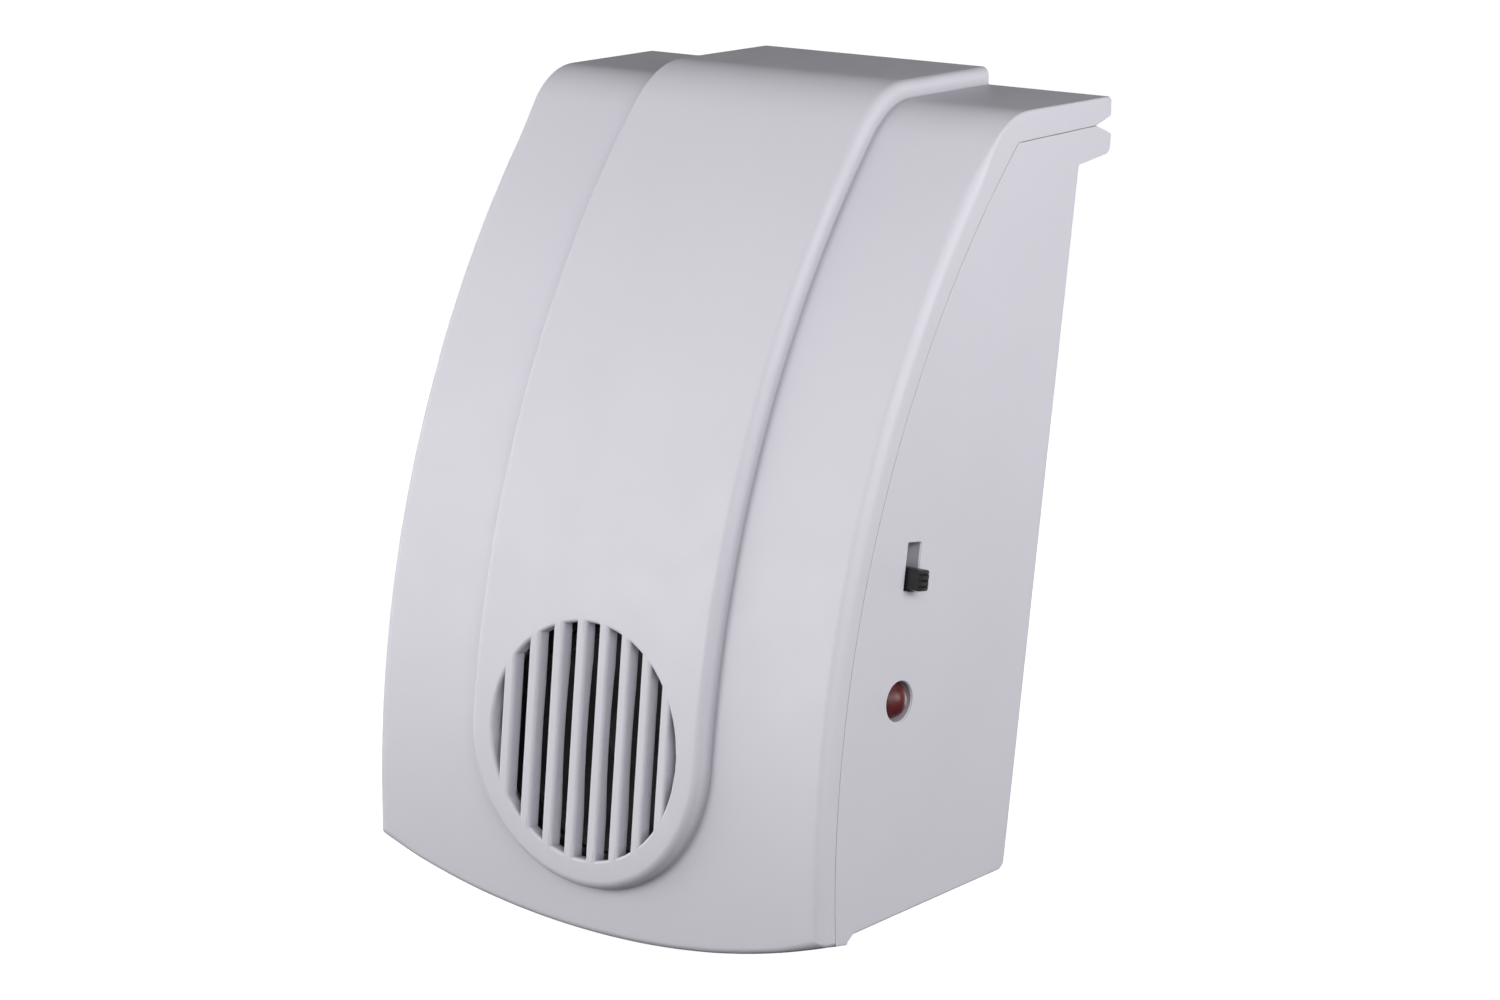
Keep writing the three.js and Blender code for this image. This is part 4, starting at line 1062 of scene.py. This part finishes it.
def make_paper_finish():
    """Black paper with a felted surface."""
    finish = Finish("cone_paper", Sheen_Weight=0.2, Sheen_Roughness=0.6)
    fibres = finish.noise(2600.0, 5.0, (1, 1, 0.3), 0.7)
    finish.colour(finish.ramp(fibres, [(0.3, (0.010, 0.010, 0.010)), (0.7, (0.030, 0.028, 0.027))]))
    finish.roughness(finish.spread(fibres, 0.8, 0.95))
    finish.bumps((fibres, 0.03))
    return finish.material


def make_board_finish():
    """Green solder mask over a faint weave with wandering copper tracks."""
    finish = Finish("board", Coat_Weight=0.3, Coat_Roughness=0.15)
    weave = finish.add("TexChecker", Scale=1400.0)
    finish.join(finish.stretch((1, 1, 1)), weave.inputs["Vector"])
    tracks = finish.add("TexVoronoi", Scale=160.0)
    tracks.feature = "DISTANCE_TO_EDGE"
    finish.join(finish.stretch((1, 0.01, 1)), tracks.inputs["Vector"])
    cloud = finish.noise(120.0)
    mask = finish.ramp(cloud, [(0.3, (0.020, 0.105, 0.038)), (0.7, (0.030, 0.150, 0.055))])
    track = finish.ramp(tracks.outputs["Distance"], [(0.10, (1, 1, 1)), (0.14, (0, 0, 0))])
    finish.colour(finish.mix(track, mask, (0.055, 0.21, 0.085)))
    finish.roughness(finish.spread(cloud, 0.3, 0.45))
    finish.bumps((track, 0.03), (weave.outputs["Fac"], 0.004))
    return finish.material


def make_resistor_finish():
    """Beige lacquer with four painted rings across the body."""
    finish = Finish("resistor_body", Coat_Weight=0.3, Coat_Roughness=0.2)
    split = finish.add("SeparateXYZ")
    finish.join(finish.coordinates.outputs["Generated"], split.inputs["Vector"])
    body, lead = (0.58, 0.44, 0.25), (0.55, 0.55, 0.56)
    stops = [(0.0, lead), (0.2, body), (0.28, (0.25, 0.10, 0.03)), (0.34, body), (0.42, (0.02, 0.02, 0.02)),
             (0.48, body), (0.56, (0.60, 0.16, 0.02)), (0.62, body), (0.72, (0.50, 0.36, 0.08)), (0.78, lead)]
    finish.colour(finish.ramp(split.outputs["X"], stops, constant=True))
    finish.roughness(finish.spread(finish.noise(900.0), 0.3, 0.5))
    finish.bumps((finish.noise(1500.0), 0.01))
    return finish.material


MATERIALS |= {"red_lens": make_lens_finish(), "cone_paper": make_paper_finish()}
MATERIALS |= {"board": make_board_finish(), "resistor_body": make_resistor_finish()}

for piece in [cover, housing, cone, knob, led, *blades, *screws]:
    piece.data.materials.clear()
    piece.data.materials.append(MATERIALS[piece["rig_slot"]])
for subpart in frame["record"]["subparts"]:
    node = frame["nodes"].get(subpart.get("node"))
    if node is not None and node.material_slots:
        for held in node.material_slots:
            held.material = MATERIALS[subpart["material_slot"]]

# ---- stage and light

FLOOR_Z = arch_z(0)
STAGE_R = 3000.0
STAGE_BEND = 900.0
STAGE_HEIGHT = 3000.0
PAPER_GLOW = (0.9, 1.02)     # emission near the object and far from it
GLOW_REACH = (0.15, 0.6)     # metres over which the one turns into the other
LIGHT_AIM = Vector((0, -0.02, -0.01))
LIGHT_DISTANCE = 0.9         # the lights' sizes and distances are in metres
SOFTBOX = 0.5
SIDE_LIGHT = 0.16


def make_studio_paper():
    """White paper that is bright by itself, a little less so around the object."""
    finish = Finish("studio_paper", Base_Color=(0.8, 0.8, 0.8, 1), Roughness=0.9, Emission_Color=(1, 1, 1, 1))
    away = finish.add("VectorMath")
    away.operation = "LENGTH"
    finish.join(finish.coordinates.outputs["Object"], away.inputs[0])
    strength = finish.spread(away.outputs["Value"], *PAPER_GLOW, *GLOW_REACH)
    finish.join(strength, finish.shader.inputs["Emission Strength"])
    return finish.material


def make_stage():
    """Floor that curves up into a round wall: one seamless sheet about the object."""
    profile = [(r, FLOOR_Z) for r in (0.01, 60, 120, 240, 480, 960, STAGE_R - STAGE_BEND)]
    for a in np.radians(np.linspace(0, 90, 16)[1:]):
        profile.append((STAGE_R - STAGE_BEND * (1 - math.sin(a)), FLOOR_Z + STAGE_BEND * (1 - math.cos(a))))
    profile.append((STAGE_R, FLOOR_Z + STAGE_HEIGHT))
    sides = 96
    angles = np.linspace(0, 2 * math.pi, sides, endpoint=False)
    x, y = np.cos(angles), np.sin(angles)
    points = np.vstack([np.column_stack([r * x, r * y, np.full(sides, z)]) for r, z in profile])
    mesh = bpy.data.meshes.new("stage")
    mesh.from_pydata([tuple(p) for p in points * MM], [], row_faces(len(profile), sides))
    mesh.shade_smooth()
    stage = link("stage", mesh)
    stage.data.materials.append(make_studio_paper())
    stage.visible_diffuse = False
    stage.visible_glossy = False
    stage.visible_shadow = False
    return stage


make_stage()

world = bpy.data.worlds.new("world")
bpy.context.scene.world = world
world.use_nodes = True
background = world.node_tree.nodes["Background"]
background.inputs["Color"].default_value = (1, 1, 1, 1)
background.inputs["Strength"].default_value = 0.002
bpy.context.scene.view_settings.view_transform = "Standard"


def soft_light(name, position, size, power):
    """A round soft light that faces the object."""
    data = bpy.data.lights.new(name, "AREA")
    data.shape = "DISK"
    data.size = size
    data.energy = power
    lamp = bpy.data.objects.new(name, data)
    bpy.context.scene.collection.objects.link(lamp)
    lamp.location = position
    lamp.rotation_euler = (LIGHT_AIM - lamp.location).to_track_quat("-Z", "Y").to_euler()


STUDIO = [                   # azimuth, elevation, watts
    (-75, 0, 1.79), (-75, 40, 0.25), (-50, 0, 0.94), (-50, 22, 0.87), (-25, 0, 2.88), (-25, 22, 0.49),
    (50, 0, 0.63), (50, 22, 2.0), (75, 22, 0.40), (180, -3, 3.2), (-130, -3, 1.6),
]
SIDE_LIGHTS = {              # position in mm, watts
    "side_light_low": ((300, 20, 80), 0.29),
    "side_light_front": ((280, -60, 80), 0.09),
    "side_light_high": ((220, -50, 160), 0.045),
}
for i, (azimuth, elevation, power) in enumerate(STUDIO):
    position = direction(azimuth, elevation) * LIGHT_DISTANCE + LIGHT_AIM
    soft_light(f"softbox_{i + 1}", position, SOFTBOX, power)
for name, (position, power) in SIDE_LIGHTS.items():
    soft_light(name, Vector(position) * MM, SIDE_LIGHT, power)
